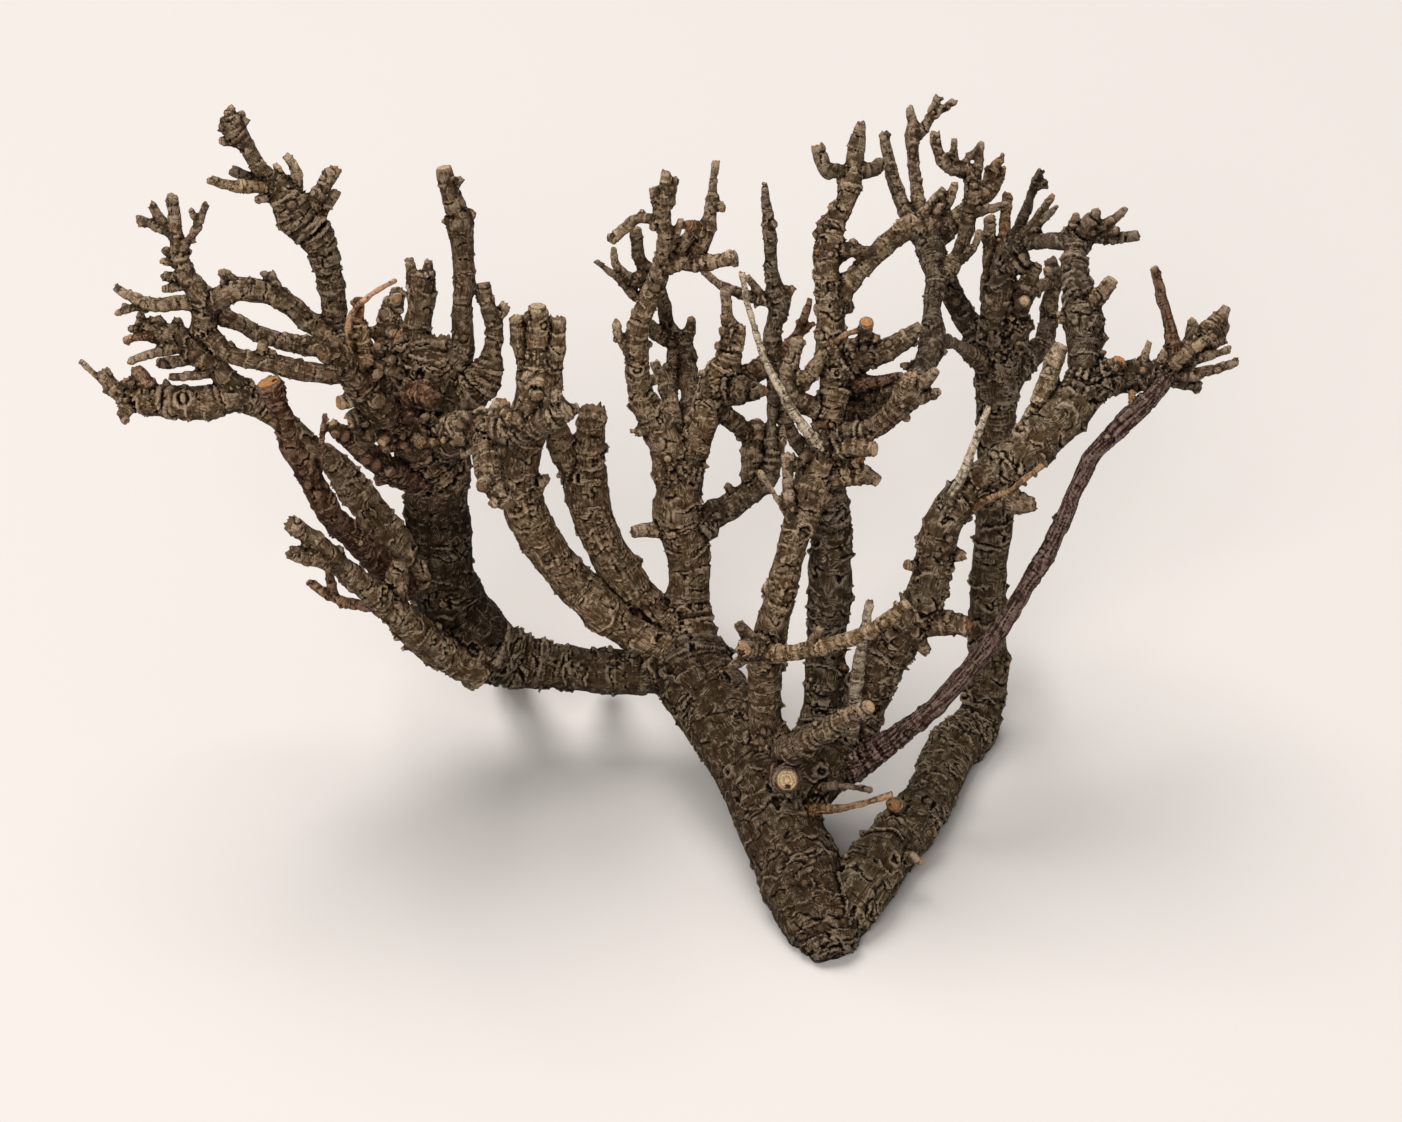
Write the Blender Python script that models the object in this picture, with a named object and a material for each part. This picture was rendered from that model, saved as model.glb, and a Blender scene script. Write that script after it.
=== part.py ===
"""Driftwood: a weathered, many-branched root piece, one grown solid standing on three low points."""

import math
import random

import bmesh
import bpy
from mathutils import Vector, noise

# Driving dimensions, in metres and degrees
SPREAD = 0.254            # width across the widest branches
UNITS_ACROSS = 254.0      # the same width in station units, so one unit is a millimetre
LEAN = math.radians(35)   # how far the drawing plane of the stations leans back
EYE_DISTANCE = 650.0      # station units from the eye to the drawing plane
AIM = (-28.2, 85.2)       # the point of the drawing plane that the eye looks at, in station units
FLOOR_DEPTH = 0.012       # thickness of the slab that trims the three low points flat
FLOOR_WIDTH = 0.8         # and its width, well past the branches

# Shape of the limbs
RING_SPACING = 2.4        # distance between rings, in radii
SHORTEST_STEP = 4.2       # the least distance between rings, in station units
SWELL = 0.07              # how far a limb's radius wanders, as a share of it
BUMP = 0.09               # how far the bark bulges in or out, as a share of the radius
BUMP_SIZE = 0.011         # distance over which the bulges change, in metres
SIDES_BY_RADIUS = ((7.0, 2), (2.0, 1), (0.0, 0))   # least radius, bevel resolution
SPUR_SEED = 23
SPUR_SPACING = 30.0       # one broken twig base for each such stretch of a bough, in station units
SPUR_REACH = (1.5, 4.0)   # how far a twig base stands out of its bough, in station units
SPUR_RADIUS = (0.9, 1.7)  # and its radius
SPUR_SHARE = 0.45         # the most that its radius may be of its bough's radius
SPUR_FLARE = 1.3          # how much thicker it is where it leaves the bough
SPUR_TURN = math.radians(50)   # the most that it turns from straight away from the eye
SMOOTH_BOUGHS = ("whip", "hidden_prop")   # these carry no twig bases
WELD = 0.00001            # distance within which points of a limb's end caps are joined, in metres
CREASE = math.radians(50)      # edges that turn more than this stay sharp
FACE_BUDGET = 11600       # triangles that the finished solid is thinned to

UNIT = SPREAD / UNITS_ACROSS

# Stations of the limbs: across, up, toward the eye, radius.
# The first limb is the trunk, and every other limb starts inside the one that it grows from.
BOUGHS = {
    "trunk": [(1, -4, 2, 6.2), (-1, 4, -1, 8.2), (-4, 12, -6, 9.2), (-9, 22, -12, 9),
              (-12.5, 30, -18, 8.8), (-18, 42, -27, 9), (-24, 52, -36, 9), (-29, 60, -42, 9),
              (-30.5, 66, -46, 7.5)],
    "crotch": [(-13, 29, -18, 6.5), (-7, 36, -19, 8), (-2, 42, -21, 7.5), (0, 47.5, -23, 5.5)],
    "right_back_stem": [(0, 5, -3, 6.5), (7, 14, -7, 6.9), (13, 22, -16, 6.1), (18, 28, -25, 5.9),
                        (23, 36, -36, 5.5), (26, 43, -48, 5.8), (32, 49, -57, 5.2),
                        (34, 56, -57, 4.4), (34.8, 64, -55, 4.2), (34.3, 74, -52, 4),
                        (35, 84, -49, 3.8), (36, 92, -46, 4), (36.5, 100, -44, 4),
                        (36.3, 110, -41, 4), (36.5, 118, -37, 4.3), (37, 125, -34, 4.8)],
    "left_bough": [(-28, 62, -43, 7.5), (-34, 62.5, -45, 6), (-40, 61.3, -45, 5.2),
                   (-50, 61, -45, 4.9), (-60, 62, -45, 5), (-68, 63.5, -44, 6), (-74, 66, -42, 7)],
    "left_trunk": [(-70, 62.5, -44, 6), (-77, 68, -41, 8), (-83, 76, -38, 7.5), (-85, 85, -33, 7),
                   (-86, 95, -28, 7.2), (-86, 105, -20, 7.3), (-87, 117, -11, 7),
                   (-88, 125, -7, 6.8), (-87.5, 131, -5, 5.4)],
    "hidden_prop": [(-62, 62.5, -44, 4.4), (-66, 63, -56, 4), (-69, 63, -70, 3.5),
                    (-70.5, 62.5, -82, 3.2), (-71, 62, -92, 2.8)],
    "slant_stem_left": [(-33, 65, -45, 6), (-42, 70, -43, 5), (-50, 75, -40, 4.8),
                        (-56, 80.5, -36, 4.6), (-62, 88, -31, 4.6), (-66, 95, -27, 4.6),
                        (-68, 103, -22, 4.4), (-67.5, 110, -17, 4.4), (-65.5, 116, -13, 4.7),
                        (-64, 122, -10, 5.2), (-63.5, 128, -7, 5), (-63.5, 132.5, -5, 4)],
    "slant_stem_right": [(-31, 66, -46, 5.5), (-38, 73, -44, 4.7), (-43, 79, -41, 4.5),
                         (-47, 85, -38, 4.4), (-50.5, 91, -34, 4.4), (-52.7, 97, -31, 4.6),
                         (-53.8, 104, -27, 5), (-53, 110, -23, 3.7), (-51.8, 118.3, -18, 3)],
    "slant_prong": [(-54.5, 103, -27, 3.6), (-58.5, 110, -22, 3), (-60.5, 116, -17, 2.6),
                    (-61.5, 121, -13, 2)],
    "middle_stem": [(-29.5, 64, -45, 6), (-31, 76, -45, 4.8), (-31, 84, -43, 4.6),
                    (-32, 90, -41, 4.9), (-33.5, 96, -39, 5.3), (-33, 102, -37, 5),
                    (-32.8, 108, -35, 5)],
    "middle_left": [(-34.3, 103, -37, 4.2), (-36, 111, -33.5, 3.9), (-38.5, 116, -31, 3.6),
                    (-41, 120.5, -28, 3), (-42, 125, -25, 2.6), (-42.3, 130, -22, 2.8),
                    (-42.2, 135, -19, 2.7), (-40.7, 140, -16, 2.3), (-38.5, 145, -13, 2.4),
                    (-36.8, 150, -10, 2.2), (-36, 155, -7, 1.9), (-36.6, 160, -4, 2),
                    (-36.6, 165, -2, 2.3)],
    "middle_right": [(-32, 103, -36, 4), (-29.3, 111, -35, 3.5), (-27.8, 115.5, -34, 3.3),
                     (-26.6, 120, -34, 3.3), (-24.5, 124.5, -33, 3.8), (-22.5, 128, -32, 3.3),
                     (-21.8, 131.5, -31, 2.5), (-21.8, 135.5, -30, 2.3), (-22.5, 139, -29, 1.4),
                     (-22.9, 145.2, -27, 1.1)],
    "front_stem": [(-6, 38, -19, 5.5), (-13, 47, -21, 4), (-14.3, 56, -16, 3.7),
                   (-13.3, 68, -6, 3.8), (-10.5, 79, 0, 3.3), (-8, 89, 2, 3.3), (-5, 98, 2, 3.9),
                   (-2.8, 105, 1, 4.3), (-1.3, 111, 1, 4), (0, 116, 1, 3.2), (1, 121, 2, 3),
                   (1.6, 126, 2, 4.2), (0.6, 131, 2, 3.9), (0, 136, 2, 3.3), (0, 141, 2, 3.5),
                   (-0.3, 145, 2.5, 3.1), (-0.5, 149.5, 3, 2.8), (-0.2, 154, 3, 3.4),
                   (0.3, 158, 3, 2.9), (2.3, 161.5, 3, 2.3), (3.7, 164.5, 3, 2.1),
                   (4.2, 167.3, 3, 2.9), (4.6, 169.8, 3, 2.3), (5.5, 173, 3, 1.9),
                   (6.1, 177, 3, 1.9), (7, 181.3, 3, 1.1)],
    "rear_stem": [(-3, 40, -23, 6), (-2, 50, -28, 5), (-1, 60, -27, 4.5), (-0.5, 70, -24, 4.2),
                  (0, 80, -19, 4.8), (0.5, 90, -13, 4.6), (0, 98, -7, 4), (-1, 106, -1, 3)],
    "right_stem": [(0, 41, -22, 6), (5, 47, -25, 5.2), (8, 55, -24, 5), (12, 64, -20, 5),
                   (18, 72, -14, 4.5), (21.5, 79, -10, 4.2), (23, 85, -7, 4.3),
                   (24.5, 92, -3, 4.3), (28, 98, 0, 4.4), (33, 102, 1, 4.7), (38, 105.3, 2, 5),
                   (43, 109, 3, 5), (48, 113.5, 3, 5), (52, 118, 3, 5), (55, 122, 3, 5),
                   (57, 126, 3, 4.4)],
    "right_upright": [(56, 122.5, 3, 4.6), (56, 129, 2, 3.7), (56, 134, 1, 3.9),
                      (55.4, 139, 0, 4.3), (54.5, 144, -2, 3.7), (53.5, 149, -5, 3),
                      (53.8, 153, -9, 2.4), (54.3, 156, -12, 2.1)],
    "right_arm": [(54, 122, 3, 4.4), (61, 125.3, 3, 4.2), (66, 125.7, 3, 3.5), (71, 126.2, 3, 2.8),
                  (75, 127.2, 3, 2.5), (78.5, 128.3, 3, 1.9)],
    "whip": [(3, 40, -21, 4.6), (8, 42.3, -21, 3.6), (13, 45.5, -19, 2.7), (19, 50, -16, 2.3),
             (24, 54.3, -12, 2.1), (30, 61, -9, 2.1), (35, 67, -6, 2), (40, 74.5, -3, 1.9),
             (43.3, 80, -1, 1.9), (46.6, 85.5, 0, 2.1), (49.2, 90, 1, 1.9), (53.5, 100, 3, 1.8),
             (55.7, 105, 3, 1.8), (58, 109, 4, 1.9), (61.5, 112.5, 4, 2), (65, 116, 4, 2.2),
             (68, 119, 4, 2.3), (71, 122, 4, 2.1), (74, 126.5, 3, 2)],
    "back_top": [(36.8, 121, -36, 4.6), (37, 130, -32, 5.2), (36.8, 136, -29, 4.4),
                 (37, 141, -26, 3.7), (37.6, 146, -24, 3.1), (38.4, 151, -22, 2.8),
                 (40.2, 154.3, -20, 2.6), (43.2, 155.4, -18, 2.2), (47, 155.3, -15, 1.9),
                 (51, 155.3, -12, 2.1), (55, 156, -11, 2.4), (58.5, 156.6, -10, 1.9),
                 (62, 156, -9, 1.4), (67.7, 156.3, -8, 1.2)],
    "back_fork": [(38.5, 126, -34, 4.2), (43, 129.5, -36, 3.2), (46.5, 132, -38, 2.6),
                  (47.6, 136, -39, 2.1), (48, 141, -39, 1.9), (49.3, 146, -38, 1.7),
                  (48.4, 151.5, -37, 1.3)],
    "ringed_stem": [(16.5, 120.5, 9, 2.6), (19.3, 125.5, 4, 2.5), (21.8, 130, -1, 2.8),
                    (22.7, 134, -4, 3), (22.4, 138.5, -7, 2.1), (22.6, 143, -10, 2),
                    (23.2, 147.5, -13, 2.4), (22.5, 151.5, -17, 2.8), (21.5, 155.5, -21, 3),
                    (20, 159.7, -25, 2.4)],
    "far_diagonal": [(36.5, 126, -35, 4), (31.5, 135.5, -35, 3), (28, 141.5, -33, 2.6),
                     (24.7, 148, -30, 2.8), (22, 154, -26, 3), (20.3, 158.5, -26, 2.5)],
    "curly_stem": [(23.5, 146.5, -13, 2.2), (26.3, 149.5, -14, 2.1), (28.6, 153, -15, 1.8),
                   (29.8, 157.5, -15, 1.7), (30.8, 162, -14, 1.9), (31.4, 166, -13, 2.1),
                   (31, 169.6, -13, 2), (29.3, 170.9, -12, 1.6), (26.5, 171.3, -11, 1.5),
                   (24.3, 173.4, -10, 1.4), (23.2, 176, -9, 1.2), (23, 179, -9, 1.3)],
    "diagonal": [(0.3, 140.5, 2, 3.1), (3, 144.5, 2, 2.6), (6.5, 148.5, 3, 2.2),
                 (10, 152.3, 3, 2.1), (13.5, 155.5, 3, 2.3), (17, 158, 3, 2.6),
                 (20.5, 158.8, 3, 2.6), (24, 159.8, 3, 2.1), (26.5, 160.2, 3, 1.4)],
    "far_stem": [(-29, 92, -41, 4), (-26, 95, -42, 3.3), (-22, 97, -43, 2.9),
                 (-18, 99.7, -43, 2.8), (-14.5, 102.5, -42, 2.6), (-12.6, 106, -41, 2),
                 (-12.8, 112, -40, 1.25), (-12.8, 118, -39, 1.2), (-12.3, 124, -38, 1.5),
                 (-12, 129.5, -37, 2.5), (-12.7, 134, -36, 2.1), (-11.6, 138.5, -35, 2),
                 (-10.8, 142, -34, 2.4), (-12.2, 145.3, -33, 1.9), (-12.9, 150, -32, 1.5),
                 (-13.5, 160, -30, 1.4), (-14.3, 168.2, -28, 0.7)],
}

# The dense left end: arms that reach forward and out, each with its broken twigs
LEFT_ARMS = {
    "low_arm": [(-77, 62, -39, 4.8), (-84, 65, -32, 4.1), (-90, 69, -24, 3.8),
                (-95, 74, -17, 3.4), (-100, 78, -12, 3), (-106, 83, -6, 2.6), (-110, 87, 0, 2.2),
                (-113, 90, 3, 2.1), (-118.5, 93.5, 6, 1.9)],
    "low_arm_tip": [(-108, 85, -3, 2.1), (-113, 86, 2, 2), (-118.3, 87, 5, 1.7)],
    "low_arm_bud": [(-95, 76, -17, 2.4), (-94.5, 82, -14, 2.5), (-94, 85.5, -13, 1.5)],
    "red_twig": [(-96, 75, -19, 1.6), (-105, 76, -26, 1.2), (-110, 78, -29, 1.1),
                 (-114.3, 80.7, -31, 1)],
    "red_twig_side": [(-108.5, 77.5, -28, 1.1), (-110, 84.3, -29, 1)],
    "brown_arm": [(-92, 79, -28, 3.4), (-98, 84, -20, 3.1), (-105, 91, -8, 2.9),
                  (-109, 95, 0, 2.8), (-112, 100, 6, 2.8), (-115, 106, 10, 2.6),
                  (-118, 110, 12, 2.5), (-120, 117, 15, 2.2), (-123, 124.5, 19, 3)],
    "brown_arm_twig": [(-112.5, 102, 7, 1.1), (-111.5, 110, 10, 0.8), (-110.5, 117.7, 13, 0.7)],
    "left_arm": [(-85, 81, -34, 5.4), (-92, 86, -29, 4.8), (-97, 90.5, -25, 4.5),
                 (-101, 97, -22, 4), (-105, 102, -19, 3.6), (-109, 107, -16, 3),
                 (-114, 110, -13, 2.8), (-120, 116, -10, 2.8), (-126, 120, -7, 3.2),
                 (-130, 121.7, -5, 4), (-136, 120, -5, 3.7), (-143, 120, -5, 3.8),
                 (-150, 120.5, -5, 3.2), (-155.5, 120.8, -5, 2.4)],
    "left_arm_tip": [(-153.5, 121, -5, 2), (-157, 123.2, -4, 1.9), (-159.2, 126.8, -3, 1.7)],
    "left_arm_hair": [(-157, 122.8, -4, 1.1), (-160, 125.3, -4, 0.8), (-164.2, 129.2, -3, 0.7)],
    "left_arm_nub": [(-151.5, 121.5, -5, 1.5), (-154.2, 125, -3, 1.1)],
    "left_arm_drop": [(-153, 120, -4, 1.9), (-154.4, 117.6, -3, 1.5), (-154, 115.3, -2, 0.8)],
    "left_arm_fibre": [(-147.5, 121.5, -5, 2), (-150, 124.5, -4, 1.9), (-152, 127.3, -3, 1.5)],
    "knuckle_arm": [(-128.5, 121, -5, 3), (-133, 126, -3, 2.7), (-137, 130, -2, 3),
                    (-141, 133, -1, 3), (-146, 135, 0, 2.8), (-150.5, 136.2, 0, 2.2)],
    "knuckle_up": [(-149.3, 135.5, 0, 1.4), (-151.3, 139.5, 1, 0.9)],
    "knuckle_top": [(-146.3, 134.5, 0, 1.9), (-147.5, 138.7, 1, 1.4)],
    "knuckle_out": [(-149, 136, 0, 1.3), (-153.6, 136, 1, 0.9)],
    "knuckle_orange": [(-148.5, 135, 1, 1.3), (-154.8, 133.3, 3, 0.9)],
    "knuckle_low": [(-142, 132.5, 0, 1.8), (-147, 131, 2, 1.2), (-153.7, 128.8, 3, 0.9)],
    "knuckle_dark": [(-142, 133.5, -1, 1.7), (-143.2, 138.3, -2, 1.2)],
    "knuckle_grey": [(-138, 130.5, -3, 2), (-142, 129, -5, 1.5), (-147.3, 128.4, -6, 1.2)],
    "knuckle_inner": [(-134.5, 127.5, -2, 1.6), (-138, 126, -1, 1.2), (-144.8, 125.4, 0, 0.9)],
    "crown_lump": [(-91, 124, -8, 5.4), (-95, 134.5, -4, 3)],
    "crown_saddle": [(-86, 124, -7, 5), (-85, 134, -5, 2.6)],
    "crown_arm": [(-88, 121, -9, 6), (-95, 125.5, -6, 5), (-102, 129, -4, 4.5),
                  (-107, 132, -2, 4), (-109, 135.5, -1, 3.1)],
    "long_rail": [(-101, 127.5, -3, 3), (-108, 126.3, -2, 2.4), (-113, 126.5, -1, 2.3),
                  (-120, 128, 0, 2.3), (-125, 129, 1, 2.1), (-130, 130, 1, 2.1),
                  (-134, 132.5, 0, 2.3), (-138, 136.5, 0, 2.9)],
    "long_rail_stub": [(-124.7, 129.3, 1, 1.5), (-123.8, 133.4, 2, 1.1)],
    "back_rail": [(-103, 131.5, -3, 3), (-112, 132, -5, 2.4), (-118, 133, -6, 2.1),
                  (-125, 135, -5, 1.9), (-130, 137.5, -3, 1.9), (-136.8, 140.3, 0, 2.6)],
    "high_rail": [(-105, 132.5, -2, 3.1), (-113, 137, 1, 2.5), (-118, 141, 4, 2.4),
                  (-122, 143.5, 6, 2.4), (-127, 144.5, 8, 2.7), (-131, 144.3, 8, 2.7),
                  (-136, 141, 3, 2.4)],
    "high_rail_stub": [(-120.7, 143.3, 6, 1.7), (-122.7, 148.4, 7, 1.2)],
    "high_rail_end": [(-129, 145, 8, 1.8), (-133.4, 148.7, 10, 1.1)],
    "mast": [(-137.5, 135.5, 0, 2.8), (-137, 140.5, 3, 2.7), (-138, 144, 6, 2.5),
             (-140.5, 147.3, 8, 2.3), (-142, 151, 10, 2), (-143, 156, 12, 1.7),
             (-144, 165.6, 15, 1.2)],
    "mast_twig_left": [(-143.1, 156, 12, 1.6), (-145.9, 159, 11, 1.3), (-148.5, 163.3, 11, 1.1)],
    "mast_twig_low": [(-144.7, 157.5, 11.5, 1.4), (-151.6, 160.2, 9, 1.1)],
    "mast_twig_right": [(-142.4, 152.5, 10.7, 1.4), (-141, 154.7, 13, 1.1),
                        (-138.7, 158, 15, 1.1), (-136.6, 163.6, 17, 0.8)],
    "mast_twig_fork": [(-138.3, 158.7, 15.3, 1), (-140, 162.4, 16, 0.7)],
    "mast_stub_a": [(-142.2, 151.7, 10, 1.4), (-145.9, 153.4, 9, 1)],
    "mast_stub_b": [(-141.8, 150, 9.5, 1.3), (-146.6, 151, 11, 0.8)],
    "mast_stub_c": [(-140.5, 147.5, 8, 1.5), (-146.2, 147.2, 7, 1)],
    "mast_stub_d": [(-139.3, 145.7, 7, 1.4), (-146.3, 144.8, 9, 0.9)],
    "mast_low_arm": [(-137.5, 142, 4, 2), (-145, 141.5, 3, 1.7), (-149, 141.5, 3, 1.6),
                     (-153, 143, 4, 1.3), (-156.7, 145.3, 5, 0.8)],
    "mast_low_twig": [(-149.5, 141.7, 3, 1.2), (-156.4, 139.3, 2, 0.8)],
    "tall_post": [(-106.5, 131, -2, 3.8), (-108.5, 137, -1, 3.1), (-108.5, 142, 1, 2.8),
                  (-110, 149.5, 6, 3.1), (-112, 155.5, 9, 3.9), (-117, 161.5, 12, 4.5),
                  (-120.7, 167, 14, 2.8), (-124.7, 171, 16, 1.9), (-127.6, 176, 18, 1.8),
                  (-130.4, 179.5, 19, 2.7), (-131.3, 182.3, 20, 2.2)],
    "tall_post_tip": [(-131, 181, 20, 1.5), (-131, 184.8, 20.5, 1)],
    "tall_knob_left": [(-128.7, 177, 18, 1.4), (-133.7, 177, 18, 0.9)],
    "tall_knob_high": [(-130.5, 180, 19, 2), (-133.6, 180.3, 20, 1.2)],
    "tall_knob_right": [(-129.8, 179.8, 19, 1.2), (-127.4, 182, 20, 0.8)],
    "tall_dark_stub": [(-121.5, 168, 15, 2), (-125, 168.5, 15, 1.5), (-131, 170.7, 14, 1.2)],
    "tall_chip": [(-123.5, 167.3, 15.5, 1.5), (-130, 167.3, 18, 1.4), (-136.4, 168.6, 19, 0.8)],
    "tall_nub_left": [(-121, 166, 14, 1.6), (-125.8, 164.2, 14, 0.9)],
    "tall_nub_low": [(-116.5, 160.5, 11, 1.7), (-121, 158.2, 11, 0.9)],
    "tall_twig_up": [(-117.3, 164.5, 13, 1.7), (-116.8, 170, 14, 1.3), (-119.2, 174.3, 15, 0.8)],
    "tall_twig_mid": [(-119, 166.5, 14, 1.4), (-121.5, 172.2, 13, 0.8)],
    "tall_twig_right": [(-114.5, 161.5, 12, 2.3), (-111.7, 166, 12, 1.8), (-108.2, 171.3, 12, 1.5)],
    "tall_twig_low": [(-113.5, 159, 10, 2), (-110.5, 162.5, 9, 1.4), (-107.8, 166.4, 9, 1.1)],
    "short_post": [(-88.5, 127, -6, 4.2), (-90, 136, -5, 3.1), (-89.5, 143, -3, 3),
                   (-89.5, 148.7, -2, 3.3)],
    "short_post_prong": [(-91.5, 146.5, -2, 1.5), (-91.9, 151.6, -1, 0.9)],
    "short_post_chip": [(-88.3, 146.5, -2, 1.6), (-87.8, 151, -1, 1)],
    "grey_post": [(-84, 122, -7, 4.4), (-80.7, 132, -4, 2.6), (-80.5, 140, 0, 2.3),
                  (-80, 148, 4, 2.3), (-80.5, 155, 8, 2.5), (-81, 159.5, 11, 2.9),
                  (-82, 163, 13, 2.4), (-83.5, 167, 15, 2), (-84.6, 171.5, 17, 1.8)],
    "grey_post_knob": [(-80.7, 160, 11, 1.7), (-77.8, 161.4, 11, 1.1)],
    "grey_post_knob_left": [(-82, 160, 11, 1.4), (-84.8, 159.7, 12, 0.9)],
    "grey_post_knob_top": [(-83, 166.5, 15, 1.4), (-80.4, 169, 16, 0.9)],
    "right_crown": [(-86, 117, -11, 5), (-83, 120, -8, 4.7), (-77, 123.7, -5, 4.5),
                    (-74.7, 127.5, -4, 3.5), (-74, 131.5, -3, 2), (-73.4, 136, -2, 2),
                    (-75, 141, 0, 1.8), (-76, 146.2, 1, 1.9)],
    "right_crown_stub": [(-73.8, 138, -1, 1.6), (-70.9, 141.3, -2, 1.4)],
    "front_cluster": [(-86, 105, -16, 5.4), (-89, 109, -8, 4.7), (-92, 112, 0, 4.3),
                      (-98, 118, 15, 4), (-103, 125, 26, 3.6), (-108, 130, 34, 3),
                      (-111.5, 131, 38, 2.1)],
    "cluster_post": [(-102.8, 125, 26, 2.7), (-103, 137.5, 30, 2)],
    "cluster_twig": [(-98.5, 119, 17, 2.6), (-98, 131, 25, 2), (-96.3, 139, 27, 2.6),
                     (-93.7, 144.7, 28, 1.3)],
    "cluster_curl": [(-104.5, 129, 30, 0.9), (-105.3, 138, 32, 0.8), (-101, 143, 33, 0.7),
                     (-94.8, 146.8, 33, 0.7)],
    "cluster_orange": [(-103, 136, 29.5, 1.2), (-103.2, 143, 31, 1.3)],
    "cluster_right": [(-95, 114, 8, 3), (-94, 119, 13, 2.5), (-90, 122, 16, 2.4),
                      (-87.3, 120, 18, 1.9)],
    "cluster_low": [(-97, 116.5, 12, 2.8), (-103.3, 111.5, 13, 1.8)],
    "cluster_low_right": [(-93, 113, 3, 2.6), (-97, 110.3, 9, 1.8)],
    "cluster_left": [(-100.5, 121.5, 20, 2.4), (-107.7, 119.8, 24, 1.5)],
    "cluster_left_low": [(-99, 119, 16, 2.6), (-105.3, 115.7, 18, 2)],
    "cluster_side": [(-89, 110.5, -5, 1.6), (-81.8, 117.3, 0, 1)],
    "cluster_knobs": [(-90, 103, -13, 3.6), (-97, 105.5, -1, 2.7), (-103, 110, 7, 2.4),
                      (-109.3, 115.3, 11, 1.6)],
    "forward_arm": [(-86, 110, -13, 5.4), (-83.5, 112, -4, 4.5), (-78, 114, 6, 4.4),
                    (-72, 114, 15, 3.9), (-66, 114.7, 21, 3), (-61, 116.3, 25, 2.7),
                    (-57, 118.6, 27, 2.3)],
    "forward_arm_up": [(-67, 114.5, 20, 2.9), (-66, 119, 22, 3), (-64, 125.3, 24, 2)],
    "forward_arm_down": [(-75, 112, 13, 3.4), (-74.5, 104, 17, 3), (-70.3, 97.4, 20, 1.8)],
    "forward_arm_bump": [(-71.7, 115, 16, 2), (-71, 120.3, 18, 1.1)],
}

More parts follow.
